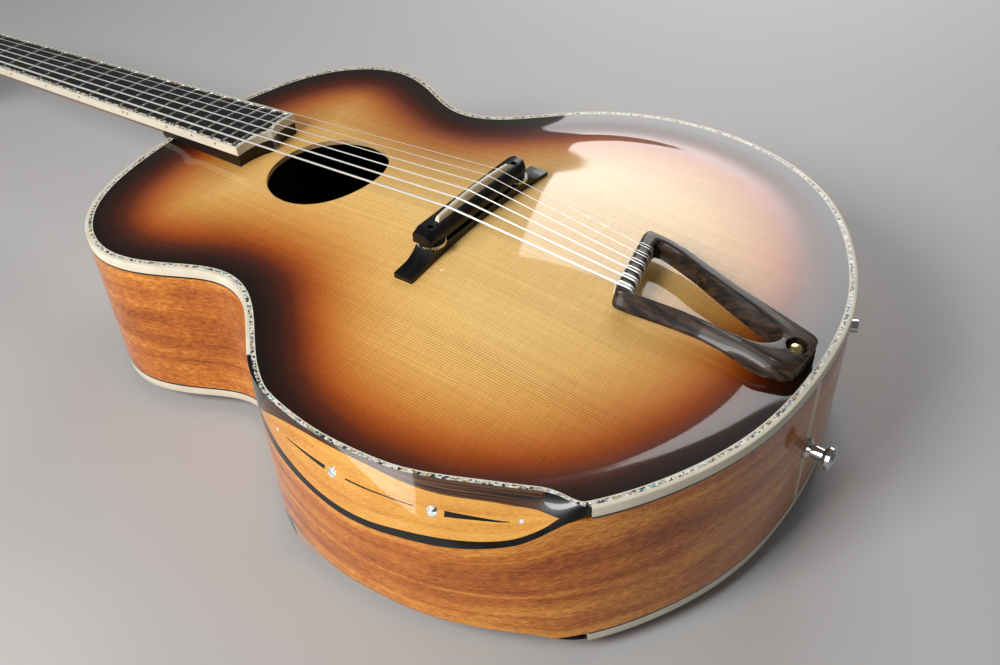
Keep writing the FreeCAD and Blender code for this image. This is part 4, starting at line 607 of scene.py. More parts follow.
# Name, dark and light colour, scale of the cloud, roughness, metal, coat
plainStuffs = dict(
    cream=("cream_strip", (0.62, 0.55, 0.42), (0.72, 0.66, 0.53), 60, 0.4, 0.0, 0.2),
    fibre=("black_fibre", (0.003, 0.003, 0.003), (0.007, 0.007, 0.006), 90, 0.25, 0.0, 0.6),
    pearl=("pearl", (0.56, 0.56, 0.55), (0.70, 0.70, 0.68), 500, 0.3, 0.0, 0.2),
    nickel=("fret_nickel", (0.56, 0.55, 0.52), (0.66, 0.65, 0.62), 200, 0.24, 1.0),
    bone=("bone", (0.70, 0.63, 0.48), (0.80, 0.74, 0.60), 150, 0.32, 0.0, 0.3),
    brass=("brass", (0.58, 0.42, 0.16), (0.70, 0.53, 0.24), 120, 0.22, 1.0),
    darkSteel=("dark_steel", (0.02, 0.02, 0.02), (0.05, 0.05, 0.05), 120, 0.4, 1.0),
    steel=("steel", (0.36, 0.36, 0.36), (0.46, 0.46, 0.45), 120, 0.3, 1.0),
    chrome=("chrome", (0.52, 0.52, 0.53), (0.60, 0.60, 0.60), 80, 0.12, 1.0),
    pickup=("pickup_black", (0.01, 0.01, 0.01), (0.025, 0.025, 0.025), 100, 0.4),
)
finishes.update({key: stripedFinish(*row) for key, row in stripedWoods.items()})
finishes.update({key: mottledFinish(*row) for key, row in plainStuffs.items()})
print("finishes:", len(finishes))


# Plates

# Line that the plates end at: inside the binding, or along the inner line of the bevel, blended softly
def plateInset(bevel, turn, soft=0.8 * mm):
    a, b = bevelCut(bevel, turn, "inset"), box["sideThick"]
    return (a + b + np.sqrt((a - b) ** 2 + soft**2)) / 2


def plateEdge(bevel, turn, extra):
    points, into, _ = rimAt(turn)
    return points + into * (plateInset(bevel, turn) + extra)[:, None]


topPlate = dict(stations=520, rows=112, wallRows=5, underRows=12, holeEase=0.25 * mm,
                extra=box["purflingWide"] + box["innerLineWide"])


# Soundboard: rays from the sound hole's ellipse out to the plate's edge, at the arch's height
def makeTopPlate():
    turn = np.linspace(0, 1, topPlate["stations"], endpoint=False)
    outer = plateEdge(armBevel, turn, topPlate["extra"])
    centre = np.array([0, box["holeFromSaddle"]])
    axes = np.array([box["holeAcross"], box["holeAlong"]]) / 2
    inner = centre + axes * unit((outer - centre) / axes)
    outOf = lambda shares: inner[:, None] + (outer - inner)[:, None] * shares[:, None]
    place = outOf(np.linspace(0, 1, topPlate["rows"]))
    under = outOf(np.linspace(1, 0, topPlate["underRows"]))
    upper = atHeight(place, topHeight(place))
    lower = atHeight(under, topHeight(under) - box["plateThick"])
    upper[:, 0, 2] -= topPlate["holeEase"]
    drop = np.linspace(1, 0, topPlate["wallRows"] + 2)[1:-1]
    wall = atHeight(inner[:, None], upper[:, :1, 2] - box["plateThick"] * drop)
    upper[..., 2] -= borderHollow(fromRim(place))
    rings = np.concatenate([upper, lower, wall], 1)
    count = rings.shape[1]
    part = skin(rings, closed=True, band=(count - topPlate["wallRows"] - 1, count))
    piece = addPiece("soundboard", [part], "top spruceEdge", ["top_plate"], "spruce_top", sharp=30)
    edge = piece.data.attributes.new("edge", "FLOAT", "POINT")
    edge.data.foreach_set("value", fromRim(part["points"][:, :2]).astype(np.float32))


backPlate = dict(stations=360, rows=64)


# Back: rays from its crown out to the plate's edge, closed at the crown
def makeBackPlate():
    turn = np.linspace(0, 1, backPlate["stations"], endpoint=False)
    outer = plateEdge(ribBevel, turn, 0)
    centre = np.array([0, box["backCrown"]])
    place = centre + (outer - centre)[:, None] * np.linspace(0, 1, backPlate["rows"])[:, None]
    lower = atHeight(place, backHeight(place))
    part = slab(lower, lower + (0, 0, box["plateThick"]), closed=True,
                band=(backPlate["rows"], 2 * backPlate["rows"]))
    # The back's inner face is painted near black, as painted shade for the inside of the body
    addPiece("back", [part], "back innerBack", ["back_plate"], "side_wood", merge=1e-6, sharp=30)


makeTopPlate()
makeBackPlate()
print("plates made")


# Rim: sides, bindings, purfling

# Profile carried along the rim: each corner is an inset from the rim and a height
def alongRim(turn, profile, inset=0.0, closed=False):
    points, into, length = rimAt(turn)
    corners = np.array(profile)
    flat = points[:, None] + into[:, None] * (corners[None, :, :1] + np.reshape(inset, (-1, 1, 1)))
    rings = atHeight(flat, corners[None, :, 1])
    return skin(rings, closed=closed, along=np.append(length, rim["length"][-1]) if closed else length)


# Flat section of a strip, with its outer upper edge eased where asked
def strap(low, high, wide, ease=0.0):
    top = [(0, high)] if not ease else [(0, high - ease), (ease * 0.3, high - ease * 0.3), (ease, high)]
    return [(0, low)] + top + [(wide, high), (wide, low)]


rimLook = dict(sideStations=420, sideRows=26, stripStations=9, bindingStations=700, trimStations=900)


# Side: a wall between a lower and an upper line, which dip where a bevel cuts into it
def sideWall(first, last):
    rows = rimLook["sideRows"]
    turn = np.linspace(first, last, rimLook["sideStations"])
    points, into, length = rimAt(turn)
    high = np.minimum(sideHigh, topEdge - bevelCut(armBevel, turn, "drop"))
    low = np.maximum(sideLow, backEdge + bevelCut(ribBevel, turn, "drop"))
    share = np.linspace(0, 1, rows)
    z = low[:, None] + (high - low)[:, None] * share
    outer, inner = (atHeight(flat[:, None], z) for flat in (points, points + into * box["sideThick"]))
    reach = (sideHigh - sideLow) * np.concatenate([share, share[::-1], [0]])
    return slab(outer, inner, along=length, around=reach, band=(rows, 2 * rows))


def makeRim():
    wide, ease = box["sideThick"], box["bindingEase"]
    halfStrip = box["stripWide"] / 2 / rim["length"][-1]
    # The sides' inner faces are painted near black, as painted shade for the inside of the body
    wood = "sides innerBack"
    addPiece("treble_rim", [sideWall(halfStrip, 0.5)], wood, ["treble_side"], "side_wood")
    addPiece("bass_rim", [sideWall(0.5, 1 - halfStrip)], wood, ["bass_side"], "side_wood")
    tailTurns = np.linspace(-halfStrip, halfStrip, rimLook["stripStations"])
    strip = alongRim(tailTurns, strap(sideLow, sideHigh, wide))
    addPiece("tail_inlay", [strip], "strip", ["tail_strip"], "strip_wood")
    topTurns, backTurns = (np.linspace(bevel["end"], 1 + bevel["start"], rimLook["bindingStations"])
                           for bevel in (armBevel, ribBevel))
    allTurns = np.linspace(0, 1, rimLook["trimStations"], endpoint=False)
    shellInset, trimLow = plateInset(armBevel, allTurns), topEdge - box["trimDeep"]
    topProfile = strap(topEdge - box["bindingHigh"], topEdge, wide + box["bindingOver"], ease)
    lineProfile = strap(trimLow, topEdge + box["lineProud"], box["innerLineWide"])
    innerLine = alongRim(allTurns, lineProfile, shellInset + box["purflingWide"], True)
    addPiece("top_edge_binding", [alongRim(topTurns, topProfile), innerLine], "cream", ["top_binding"],
             "cream_binding")
    low = strap(-backEdge - box["bindingHigh"], -backEdge, wide, ease)
    backStrap = alongRim(backTurns, [(inset, -z) for inset, z in low])
    addPiece("back_edge_binding", [backStrap], "cream", ["back_binding"], "cream_binding")
    lines = [alongRim(topTurns, strap(sideHigh, sideHigh + box["lineHigh"], wide)),
             alongRim(backTurns, strap(sideLow - box["lineHigh"], sideLow, wide))]
    addPiece("edge_lines", lines, "fibre", ["binding_lines"], "black_fibre")
    shellProfile = strap(trimLow, topEdge + box["shellProud"], box["purflingWide"])
    shell = alongRim(allTurns, shellProfile, shellInset, True)
    addPiece("shell_purfling", [shell], "shell", ["top_purfling"], "abalone")


makeRim()
print("rim made")


# Arm bevel and rib bevel

# Lines along the arm bevel, as places across it from the plate's line to the side's line
armLook = dict(
    upper=[(.110, .645), (.155, .41), (.211, .223), (.264, .13), (.312, .085), (.40, .065), (.521, .093),
           (.635, .193), (.695, .228), (.749, .24), (.801, .26), (.852, .313), (.901, .458), (.935, .733)],
    lower=[(.110, .645), (.176, .755), (.27, .83), (.36, .885), (.448, .89), (.519, .89), (.589, .873),
           (.654, .865), (.73, .868), (.794, .878), (.841, .873), (.879, .858), (.913, .82), (.935, .733)],
    middle=[(.213, .46), (.319, .415), (.386, .42), (.535, .415), (.624, .455), (.693, .49), (.752, .51),
            (.832, .567), (.859, .58)],
    tips=(.110, .935), bandEnds=((.110, .158), (.901, .914)), blackEnds=(0.004, 0.996), ribEnds=(0.1, 0.9),
    dots=[(.409, 6.2 * mm), (.665, 6.2 * mm)], pips=[(.213, 2.2 * mm), (.859, 2.2 * mm)],
    # thick end, thin end, and the two widths
    lines=[(.386, .250, 2.4 * mm, 0.5 * mm), (.446, .622, 1.0 * mm, 0.6 * mm),
           (.693, .834, 3.2 * mm, 0.4 * mm)],
    proud=0.02 * mm, lineDeep=0.5 * mm, least=0.002, stations=260, ribStations=200, ribFieldStations=160,
)
fieldUpper, fieldLower, inlayLine = (shareCurve(armLook[key]) for key in ("upper", "lower", "middle"))


# Line across a bevel where its black edging starts
def edgingLine(bevel, share):
    return 1 - np.minimum(bevelShape["edgingWide"] / bevelWidth(bevel, share), 0.45)


# Disc let into the bevel: rings of points round its middle, closed at the middle
def bevelDisc(share, size, proud, sides=28):
    turn, out = fullTurn(sides)[:, None], np.array([0.0, 0.6, 1.0, 1.0])
    length = (armBevel["end"] - armBevel["start"]) * rim["length"][-1]
    shares = share + size / 2 * out * np.cos(turn) / length
    across = float(inlayLine(share)) + size / 2 * out * np.sin(turn) / float(bevelWidth(armBevel, share))
    depth = np.broadcast_to(np.array([-proud, -proud, -proud, proud * 4]), shares.shape)[..., None]
    rings = bevelSkin(armBevel, shares, across, depth)
    return skin(np.concatenate([rings, rings[:, :1] * 0 + rings[:1, -1:].mean(0)], 1), closed=True)


def makeBevels():
    look = armLook
    proud, least = look["proud"], look["least"]
    black = []
    for bevel, count in ((armBevel, look["stations"]), (ribBevel, look["ribStations"])):
        s = np.linspace(*look["blackEnds"], count)
        black.append(bevelStrip(bevel, s, np.zeros(count), np.ones(count)))
    addPiece("bevel_black", black, "fibre", ["bevel_edging", "bevel_cores"], "black_fibre")
    left, right = look["bandEnds"]
    s = np.linspace(left[0], right[1], look["stations"])
    near = np.interp(s, left, [look["upper"][0][1], 0.004])
    far = np.maximum(fieldUpper(s) * np.interp(s, right, [1, 0]), near + least)
    band = bevelStrip(armBevel, s, near, far, proud)
    addPiece("bevel_band", [band], "band", ["arm_bevel_band"], "dark_rosewood")
    s = np.linspace(*look["tips"], look["stations"])
    field = bevelStrip(armBevel, s, fieldUpper(s), np.maximum(fieldLower(s), fieldUpper(s) + least), proud)
    s = np.linspace(*look["ribEnds"], look["ribFieldStations"])
    ribField = bevelStrip(ribBevel, s, s * 0 + 0.01, edgingLine(ribBevel, s), proud)
    addPiece("bevel_wood_field", [field, ribField], "field", ["bevel_fields"], "bevel_wood")
    lines = []
    for thick, thin, wide, narrow in look["lines"]:
        s = np.linspace(thick, thin, 30)
        half = np.linspace(wide, narrow, 30) / 2 / bevelWidth(armBevel, s)
        near, far = inlayLine(s) - half, inlayLine(s) + half
        lines.append(bevelStrip(armBevel, s, near, far, proud * 2, look["lineDeep"], 4))
    addPiece("bevel_lines", lines, "fibre", ["arm_bevel_lines"], "black_fibre")
    for name, finish, slot in (("dots", "dotShell", "abalone"), ("pips", "pearl", "pearl")):
        discs = [bevelDisc(share, size, proud * 3) for share, size in look[name]]
        addPiece("bevel_" + name, discs, finish, ["arm_bevel_dots"], slot, merge=1e-7)


makeBevels()
print("bevels made")


# Fingerboard, in a frame that leans back from the saddle

neckSet = dict(rise=32 * mm, lean=4.05, scale=635 * mm, start=188 * mm, scallop=6.0 * mm, endHalf=29.5 * mm,
               nutHalf=22.75 * mm, thick=6.5 * mm, camber=406 * mm, bindingWide=1.2 * mm,
               bindingProud=0.02 * mm, purflingWide=2.2 * mm, purflingProud=0.03 * mm, purflingDeep=1.5 * mm,
               riserInset=0.6 * mm, riserSink=0.3 * mm, frets=20, fretWide=2.2 * mm, fretHigh=1.1 * mm,
               fretSink=0.4 * mm, fretShort=0.4 * mm, fretEase=1.0 * mm, nutLong=5 * mm, headLean=14.0)


# Frame at a place, turned about x
def leaning(origin, degrees):
    made = np.eye(4)
    c, s = math.cos(math.radians(degrees)), math.sin(math.radians(degrees))
    made[1:3, 1:3] = [[c, -s], [s, c]]
    made[:3, 3] = origin
    return made


neckFrame = leaning((0, 0, topEdge + neckSet["rise"]), -neckSet["lean"])
headOrigin = (0, neckSet["scale"] + neckSet["nutLong"], -neckSet["thick"])
headFrame = neckFrame @ leaning(headOrigin, -neckSet["headLean"])


def placedIn(pose, points):
    return points @ pose[:3, :3].T + pose[:3, 3]


def camberDrop(x):
    return neckSet["camber"] - np.sqrt(neckSet["camber"] ** 2 - x**2)


def boardHalf(y):
    return np.interp(y, [neckSet["start"], neckSet["scale"]], [neckSet["endHalf"], neckSet["nutHalf"]])


# Point of the board: across runs from -1 to 1, along from the board's end to the nut. The end is shaped
# like a bracket: it comes to a point in the middle and draws back by a cubic curve to both sides.
def boardPoint(across, along, inset, z):
    start = neckSet["start"] + inset + neckSet["scallop"] * (1 - (1 - np.abs(across)) ** 3)
    y = start + (neckSet["scale"] - start) * along
    x = across * (boardHalf(y) - inset)
    return placedIn(neckFrame, stack(x, y, z - camberDrop(x)))


# Strip down one edge of the board, round its end and up the other edge
def boardStrip(outer, inner, high, low, runRows=40, endRows=81):
    run, one = np.linspace(0, 1, runRows), np.ones(runRows)
    across = np.concatenate([-one, np.linspace(-1, 1, endRows)[1:-1], one])
    along = np.concatenate([run[::-1], np.zeros(endRows - 2), run])
    corners = ((outer, high), (inner, high), (inner, low), (outer, low))
    return skin(np.stack([boardPoint(across, along, inset, z) for inset, z in corners], 1))


# Fret: a half-round crown along the camber, eased down at both ends
def fretBar(number):
    y = neckSet["scale"] * 2 ** (-number / 12)
    half = boardHalf(y) - neckSet["bindingWide"] - neckSet["fretShort"]
    x = np.linspace(-half, half, 33)
    ease = np.clip((half - np.abs(x)) / neckSet["fretEase"], 0.05, 1)[:, None]
    arc = np.linspace(0, pi, 9)
    z = np.concatenate([np.sin(arc) * neckSet["fretHigh"], [-neckSet["fretSink"]] * 2])
    width = np.concatenate([np.cos(arc), [-1, 1]]) * neckSet["fretWide"] / 2
    rings = stack(x[:, None], y + width, np.where(z > 0, z * ease, z) - camberDrop(x)[:, None])
    return skin(placedIn(neckFrame, rings))


def makeFingerboard():
    edge, deep = neckSet["bindingWide"], -neckSet["thick"]
    inset = edge + neckSet["purflingWide"]
    across, along = np.linspace(-1, 1, 41)[:, None], np.linspace(0, 1, 60)
    board = slab(*(boardPoint(across, along, inset, z) for z in (0.0, deep + 0.1 * mm)))
    addPiece("fingerboard_ebony", [board], "ebony", ["fingerboard"], "ebony")
    binding = boardStrip(0.0, edge, neckSet["bindingProud"], deep)
    addPiece("board_binding", [binding], "cream", ["fingerboard_binding"], "cream_binding")
    purfling = boardStrip(edge, inset, neckSet["purflingProud"], -neckSet["purflingDeep"])
    addPiece("board_purfling", [purfling], "shell", ["fingerboard_purfling"], "abalone")
    reach = (box["neck"] - neckSet["start"]) / (neckSet["scale"] - neckSet["start"])
    under = boardPoint(across, np.linspace(0, reach, 24), neckSet["riserInset"], deep)
    seat = atHeight(under, topHeight(under) - neckSet["riserSink"])
    addPiece("riser_block", [slab(under, seat)], "ebony", ["fingerboard_riser"], "ebony")
    bars = [fretBar(n) for n in range(1, neckSet["frets"] + 1)]
    addPiece("fret_bars", bars, "nickel", ["frets"], "fret_nickel")


makeFingerboard()
print("fingerboard made")


# Strings, each in two runs that meet at the saddle

stringSet = dict(gauges=[0.33, 0.43, 0.66, 0.91, 1.17, 1.42], plain=2, nutSpread=37 * mm,
                 saddleSpread=53.2 * mm, tailSpread=39 * mm, nutAction=1.5 * mm, saddleAction=5 * mm,
                 saddleCrown=300 * mm, wrapStep=2.4 * mm, wrapRoom=0.2 * mm, wrapFrom=3.6 * pi, square=0.45,
                 postSpread=46 * mm, firstPost=42 * mm, postPitch=40 * mm, postRadius=3 * mm,
                 postRoom=0.08 * mm, windStart=6.4 * mm, windGap=0.9 * mm, windTurns=2.4, coilRows=110)
tailSet = dict(fromSaddle=-224 * mm, overEdge=12 * mm, slope=6.5, thick=10.8 * mm, bar=10.0 * mm,
               frontBass=101.0 * mm, frontTreble=118.5 * mm, frontWide=73.0 * mm,
               bore=6.5 * mm, boreDeep=4 * mm, boreOver=6 * mm)
tailFrame = leaning((0, tailSet["fromSaddle"], topEdge + tailSet["overEdge"]), tailSet["slope"])


# The tailpiece's front edge runs at a slant
def tailFront(x):
    middle = (tailSet["frontBass"] + tailSet["frontTreble"]) / 2
    return middle + x * (tailSet["frontTreble"] - tailSet["frontBass"]) / tailSet["frontWide"]


def stringX(spread, number):
    return stringSet[spread] * (3.5 - number) / 5


def stringRadius(number):
    return stringSet["gauges"][number - 1] * mm / 2


def saddlePoint(number):
    x = stringX("saddleSpread", number)
    z = stringSet["saddleAction"] - x * x / (2 * stringSet["saddleCrown"]) + stringRadius(number)
    return placedIn(neckFrame, np.array([x, 0, z]))


# Tail run: about one and a half turns round the bar's rounded section, then straight to the saddle.
# The section is an ellipse with its sides squared off: powers of the cosine and the sine below one.
def tailRun(number):
    r = stringRadius(number)
    off = r + stringSet["wrapRoom"]
    turn = np.linspace(stringSet["wrapFrom"], pi / 2, stringSet["coilRows"])
    x = stringX("tailSpread", number) + stringSet["wrapStep"] * ((turn - pi / 2) / (2 * pi) - 0.5)
    squared = lambda value: np.sign(value) * np.abs(value) ** stringSet["square"]
    y = tailFront(x) - tailSet["bar"] / 2 + squared(np.cos(turn)) * (tailSet["bar"] / 2 + off)
    z = -tailSet["thick"] / 2 + squared(np.sin(turn)) * (tailSet["thick"] / 2 + off)
    wraps = placedIn(tailFrame, stack(x, y, z))
    run = np.linspace(0, 1, 24)[1:, None]
    path = np.concatenate([wraps, wraps[-1] + (saddlePoint(number) - wraps[-1]) * run])
    return tube(path, r, (1.0, 0.0, 0.0))


# Span: straight from saddle to nut and on to the post, then a rising spiral round the post
def spanRun(number):
    r, x, rows = stringRadius(number), stringX("nutSpread", number), stringSet["coilRows"]
    nut = placedIn(neckFrame, np.array([x, neckSet["scale"] + neckSet["nutLong"] / 2,
                                        stringSet["nutAction"] - camberDrop(x) + r]))
    side = 1 if number <= 3 else -1
    row = number - 1 if side > 0 else 6 - number
    post = np.array([side * stringSet["postSpread"] / 2,
                     stringSet["firstPost"] + stringSet["postPitch"] * row, 0])
    start = np.linalg.inv(headFrame) @ np.append(nut, 1)
    wide = stringSet["postRadius"] + r + stringSet["postRoom"]
    reach = post[:2] - start[:2]
    lean = math.asin(wide / np.linalg.norm(reach)) * side
    facing = math.atan2(reach[1], reach[0]) + lean
    turn = facing + side * (pi / 2 - np.linspace(0, 2 * pi * stringSet["windTurns"], rows))
    climb = np.linspace(0, stringSet["windTurns"] * (2 * r + stringSet["windGap"]), rows)
    spiral = post + stack(wide * np.cos(turn), wide * np.sin(turn), stringSet["windStart"] + climb)
    spiral = placedIn(headFrame, spiral)
    run, short = np.linspace(0, 1, 60)[:, None], np.linspace(0, 1, 8)[1:-1, None]
    saddle = saddlePoint(number)
    return tube(np.concatenate([saddle + (nut - saddle) * run, nut + (spiral[0] - nut) * short, spiral]), r)


def makeStrings():
    firstWound = stringSet["plain"] + 1
    saddle = (0.0, 0.0, float(saddlePoint(3)[2]))
    for kind, numbers in (("plain", range(1, firstWound)), ("wound", range(firstWound, 7))):
        looks = kind + "Wire", [kind + "_strings"], "string_steel", None
        behind = addPiece(kind + "_behind_bridge", [tailRun(n) for n in numbers], *looks)
        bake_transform(behind)
        span = addPiece(kind + "_over_board", [spanRun(n) for n in numbers], *looks)
        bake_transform(span)


makeStrings()
print("strings made")


# Tailpiece: a carved frame with a steep facet down its bass leg and a flat strip along its treble leg

tailLook = dict(
    # x and y of the window's floor, the window's rim, the crease and the foot, then how deep the outer
    # face is scooped and how far the top edges are eased: round the frame from the rear by the treble side
    rows=[
        (0.5, 11, 1, 9.2, 0, -8.6, 0, -9, 0.3, 0.8), (2.5, 13.5, 4.6, 10.8, 11.5, -8.4, 13, -8.8, 0.3, 0.8),
        (3.6, 18, 6.8, 14.6, 14.2, -4, 17.5, -4, 0.8, 0.8), (5.2, 25, 9.2, 21, 16.2, 8, 21, 8, 1, 0.8),
        (8, 34, 12.9, 31, 19.1, 24, 23.5, 24, 0.8, 0.8), (13, 50, 17.7, 50, 24, 50, 28, 50, 0.4, 0.8),
        (20.5, 72, 22.3, 70, 28.8, 69, 32.5, 69, 0.2, 0.9), (26, 94, 28.2, 88, 33.8, 88, 36.4, 88, 0.1, 1.2),
        (27, 101, 30, 100, 36, 104, 37.2, 104, 0, 2), (26, 105, 29, 106, 35.6, 116.6, 36.6, 118, 0, 2.8),
        (22, 105, 22, 105, 29, 116.7, 29, 116.7, 0, 3), (0, 99.7, 0, 99.7, 0, 109.7, 0, 109.7, 0, 3),
        (-15, 96.1, -15, 96.1, -19, 105.2, -19, 105.2, 0, 3),
        (-19.5, 94, -20.4, 93.8, -25.5, 103.2, -27.5, 103.4, 0, 2),
        (-19.5, 90, -20.9, 90, -24, 96.5, -29, 98.5, 0, 1),
        (-18, 83, -19.6, 83, -20.8, 83, -26.5, 85, 0.2, 0.7),
        (-14, 63, -16.2, 63.2, -17.2, 63.2, -22.3, 64, 0.4, 0.6),
        (-12, 49, -15, 48.8, -15.9, 48.8, -20.4, 50, 0.5, 0.6),
        (-10.5, 36, -14.9, 36.2, -15.9, 36.2, -20.6, 34, 0.7, 0.6),
        (-7.5, 25, -13.6, 25, -16, 24, -22.8, 22, 1.2, 0.6),
        (-4.5, 18, -11, 17, -16.9, 15, -24.2, 13, 1.4, 0.6),
        (-2.5, 14, -7, 12.2, -18.2, 5, -23.2, 3, 1.2, 0.6),
        (-1, 12, -3.5, 10, -17.2, -5.5, -18.6, -6.2, 0.5, 0.7),
        (0, 11.3, -1.2, 9.4, -11.5, -8.5, -13, -8.9, 0.3, 0.8)],
    stations=380, soften=12, footHigh=2.0 * mm, perEdge=5, scoopDown=0.6,
)


# Corner rounded off: a point on each of its two edges and a point between them
def easedCorner(before, corner, after, ease):
    reach = [np.minimum(ease / np.maximum(np.linalg.norm(end - corner, axis=-1, keepdims=True), 1e-6), 0.45)
             for end in (before, after)]
    first, last = corner + (before - corner) * reach[0], corner + (after - corner) * reach[1]
    return [first, (first + 2 * corner + last) / 4, last]


# Rows are spread evenly along the frame's mean line, then averaged with their neighbours to round the corners
def tailRings():
    rows = np.array(tailLook["rows"]) * mm
    loop = np.vstack([rows, rows[:1]])
    length = runLength(loop[:, 2:8].reshape(-1, 3, 2).mean(1))
    at = np.linspace(0, length[-1], tailLook["stations"], endpoint=False)
    column = np.stack([np.interp(at, length, values) for values in loop.T], -1)
    for _ in range(tailLook["soften"]):
        column = (np.roll(column, 1, 0) + 2 * column + np.roll(column, -1, 0)) / 4
    low = -tailSet["thick"]
    flat = lambda first, z: atHeight(column[:, first:], z)
    floor, rimTop, crease = flat(0, low), flat(2, 0.0), flat(4, 0.0)
    foot, under = flat(6, low + tailLook["footHigh"]), flat(6, low)
    scoop, ease = column[:, 8:9], column[:, 9:10]
    share = np.linspace(0, 1, tailLook["perEdge"] + 2)[1:-1]
    inward = rimTop - crease
    inward = inward / np.maximum(np.linalg.norm(inward, axis=1, keepdims=True), 1e-6)
    sunk = (inward - (0, 0, tailLook["scoopDown"])) * scoop
    top, edge = easedCorner(floor, rimTop, crease, ease), easedCorner(rimTop, crease, foot, ease)
    wall = [floor + (top[0] - floor) * t for t in (0.0, 0.35, 0.7)]
    plateau = [top[2] + (edge[0] - top[2]) * t for t in (0.33, 0.66)]
    face = [edge[2] + (foot - edge[2]) * t + sunk * 4 * t * (1 - t) for t in share]
    return np.stack(wall + top + plateau + edge + face + [foot, under], 1)


def makeTailpiece():
    block = skin(placedIn(tailFrame, tailRings()), closed=True)
    bore = drillBit(tailSet["bore"], 64, -tailSet["boreDeep"], tailSet["boreOver"])
    addDrilled("carved_tailpiece", block, [skin(placedIn(tailFrame, bore))], "tailWood", ["tailpiece"],
               "tail_wood", "guitar", 34)


makeTailpiece()
print("tailpiece made")


# Bridge top: a block with a broad round on the tail side, a slanted bass end and a narrowed treble end

bridgeTop = dict(
    half=52 * mm, low=21.9 * mm, high=31.5 * mm, facet=5.0 * mm, slant=0.5, nose=8 * mm, noseShare=0.35,
    # section from the tail side's foot over the top to the neck side's foot: place along, height as a share
    section=[(-6, 0), (-6.1, 0.3), (-5.7, 0.55), (-4.6, 0.78), (-2.8, 0.93), (-0.6, 1), (6.4, 1), (7.6, 0.96),
             (8.2, 0.86), (8.3, 0.5), (8.3, 0)],
    holeAt=44 * mm, holeRadius=2.1 * mm, holeLow=20 * mm, holeHigh=34 * mm, facetEase=0.8 * mm,
)


# The height falls off in a straight slant over the bass facet; the treble end draws in along an ellipse
def makeBridgeTop():
    look, half, nose = bridgeTop, bridgeTop["half"], bridgeTop["nose"]
    slantEnd = -half + look["facet"]
    x = np.concatenate([[-half, slantEnd], np.linspace(slantEnd + look["facetEase"], half - nose, 30),
                        half - nose * (1 - np.sin(np.linspace(0, pi / 2, 12)[1:]))])
    drop = look["slant"] * np.maximum(slantEnd - x, 0)
    along = np.clip((x - half + nose) / nose, 0, 1)
    narrow = 1 - look["noseShare"] * (1 - np.sqrt(1 - along**2))
    section = np.array(look["section"])
    middle = section[:, 0].mean()
    y = (middle + (section[:, 0] - middle) * narrow[:, None]) * mm
    z = topEdge + look["low"] + (look["high"] - look["low"] - drop)[:, None] * section[:, 1]
    bit = drillBit(look["holeRadius"], 32, look["holeLow"], look["holeHigh"])
    drills = [skin(bit + (side * look["holeAt"], 0, topEdge)) for side in (-1, 1)]
    addDrilled("carved_bridge_top", skin(stack(x[:, None], y, z)), drills, "bridgeEbony", ["bridge_top"],
               "ebony", "bridge_top", 32)


saddleStrip = dict(crown=300 * mm, roundHigh=2.2 * mm, endDrop=1.6 * mm, endLong=2.5 * mm)


# Saddle: a strip with a half-round back; its crest lies on a wide arc and dips along a quarter circle
# at each end
def makeSaddle():
    look = saddleStrip
    low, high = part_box("saddle")
    half, wide, middle = (high.x - low.x) / 2, (high.y - low.y) / 2, (high.y + low.y) / 2
    run = half - look["endLong"] * np.sin(np.linspace(0, pi / 2, 9))
    x = np.concatenate([-run, np.linspace(-run[-1], run[-1], 40)[1:-1], run[::-1]])
    past = np.clip((np.abs(x) - half) / look["endLong"] + 1, 0, 1)
    crest = high.z - x**2 / 2 / look["crown"] - look["endDrop"] * (1 - np.sqrt(1 - past**2))
    turn = np.linspace(0, pi, 15)
    y = np.concatenate([[-wide], -wide * np.cos(turn), [wide]])
    z = crest[:, None] + np.concatenate([[0], look["roundHigh"] * (np.sin(turn) - 1), [0]])
    z[:, [0, -1]] = low.z
    strip = skin(stack(x[:, None], middle + y, z))
    addPiece("bone_saddle", [strip], "bone", ["saddle"], "bone", "bridge_top", sharp=40)


makeBridgeTop()
makeSaddle()
print("bridge top and saddle made")


# Pieces whose CAD solid already has the right shape: finish, slot and nodes, then those that move

dressed = [
    ("fibre", "black_fibre", ["side_dots"]), ("bone", "bone", ["nut"]), ("neck", "neck_wood", ["neck"]),
    ("ebony", "ebony", ["head_plate"]), ("steel", "steel", ["truss_rod"]),
    ("chrome", "chrome", ["tuner_housings", "tuner_bushings", "head_screws"]),
    ("ebony", "ebony", ["truss_rod_cover"]), ("bridgeEbony", "ebony", ["bridge_base"]),
    ("darkSteel", "steel", ["bridge_posts"]), ("ebony", "ebony", ["tailpiece_foot"]),
    ("brass", "brass", ["tailpiece_screw"]), ("chrome", "chrome", ["strap_button", "output_jack"]),
    ("pickup", "pickup_black", ["pickup"]),
    # Blocks and linings are painted dark, as painted shade for the inside of the body
    ("lining", "lining_wood", ["neck_block", "tail_block", "linings"]),
    ("inside", "spruce_inner", ["tone_bars"]),
]
moving = [("thumbwheel_bass", "chrome", "wheel_bass"), ("thumbwheel_treble", "chrome", "wheel_treble"),
          ("truss_rod_nut", "brass", "rod_nut")]
moving += [(f"tuner_{kind}_{n}", "chrome", f"{kind}_{n}") for kind in ("post", "key") for n in range(1, 7)]
for finish, slot, nodes in dressed:
    for node in nodes:
        dressNode(node, finish, slot)
for node, finish, body in moving:
    dressNode(node, finish, finish, body)
print("dressed nodes:", sum(len(nodes) for _, _, nodes in dressed) + len(moving))


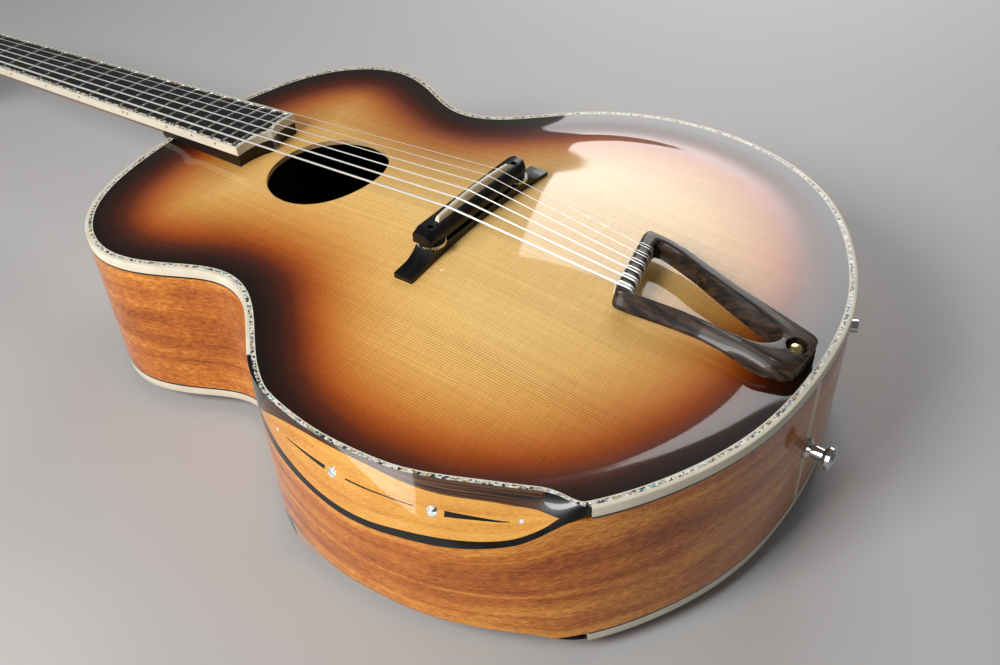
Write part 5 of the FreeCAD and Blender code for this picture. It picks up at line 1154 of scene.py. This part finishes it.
# Floor and light

stage = dict(floorSize=12.0, floorColour=(0.58, 0.575, 0.57), world=0.15)
# Soft boxes: place, the point each one faces, width, height, power
lamps = dict(
    key=((1.15, 0.30, 0.85), (0.10, -0.05, 0.13), 0.70, 0.70, 9.0),
    window=((-1.57, 0.39, 0.56), (-0.19, -0.06, 0.11), 0.90, 0.72, 14.0),
    front=((-1.00, 0.15, 0.96), (-0.08, -0.02, 0.08), 0.46, 0.46, 13.0),
)


def makeFloor():
    half, pale = stage["floorSize"] / 2, stage["floorColour"]
    mesh = bpy.data.meshes.new("floor")
    corners = [(-half, -half, 0), (half, -half, 0), (half, half, 0), (-half, half, 0)]
    mesh.from_pydata(corners, [], [(0, 1, 2, 3)])
    made, tree = newFinish("floor_paint", 0.75)
    cloud = grainNoise(tree, (3, 3, 3), 3.0)
    feed(tree, {"Base Color": ramp(tree, cloud, [(0.2, tuple(0.97 * c for c in pale)), (0.8, pale)])})
    mesh.materials.append(made)
    floor = bpy.data.objects.new("floor", mesh)
    scene.collection.objects.link(floor)
    return floor


# Soft box: a flat lamp that faces its target
def softBox(name, place, target, wide, tall, power):
    lamp = bpy.data.lights.new(name, "AREA")
    lamp.shape, lamp.size, lamp.size_y, lamp.energy = "RECTANGLE", wide, tall, power
    return placeFacing(name, lamp, place, unit(np.array(place) - np.array(target)))


# Keeps one lamp off the floor, which would go white right under it
def keepOff(lamp, thing):
    kept = bpy.data.collections.new(f"{lamp.name}_keep_off")
    kept.objects.link(thing)
    lamp.light_linking.receiver_collection = kept
    kept.collection_objects[0].light_linking.link_state = "EXCLUDE"


def makeLight(floor):
    scene.world = bpy.data.worlds.new("studio")
    scene.world.use_nodes = True
    sky = scene.world.node_tree.nodes["Background"].inputs
    sky["Color"].default_value, sky["Strength"].default_value = (1, 1, 1, 1), stage["world"]
    boxes = {name: softBox(name, *settings) for name, settings in lamps.items()}
    keepOff(boxes["window"], floor)


makeLight(makeFloor())
scene.view_settings.view_transform = "Standard"
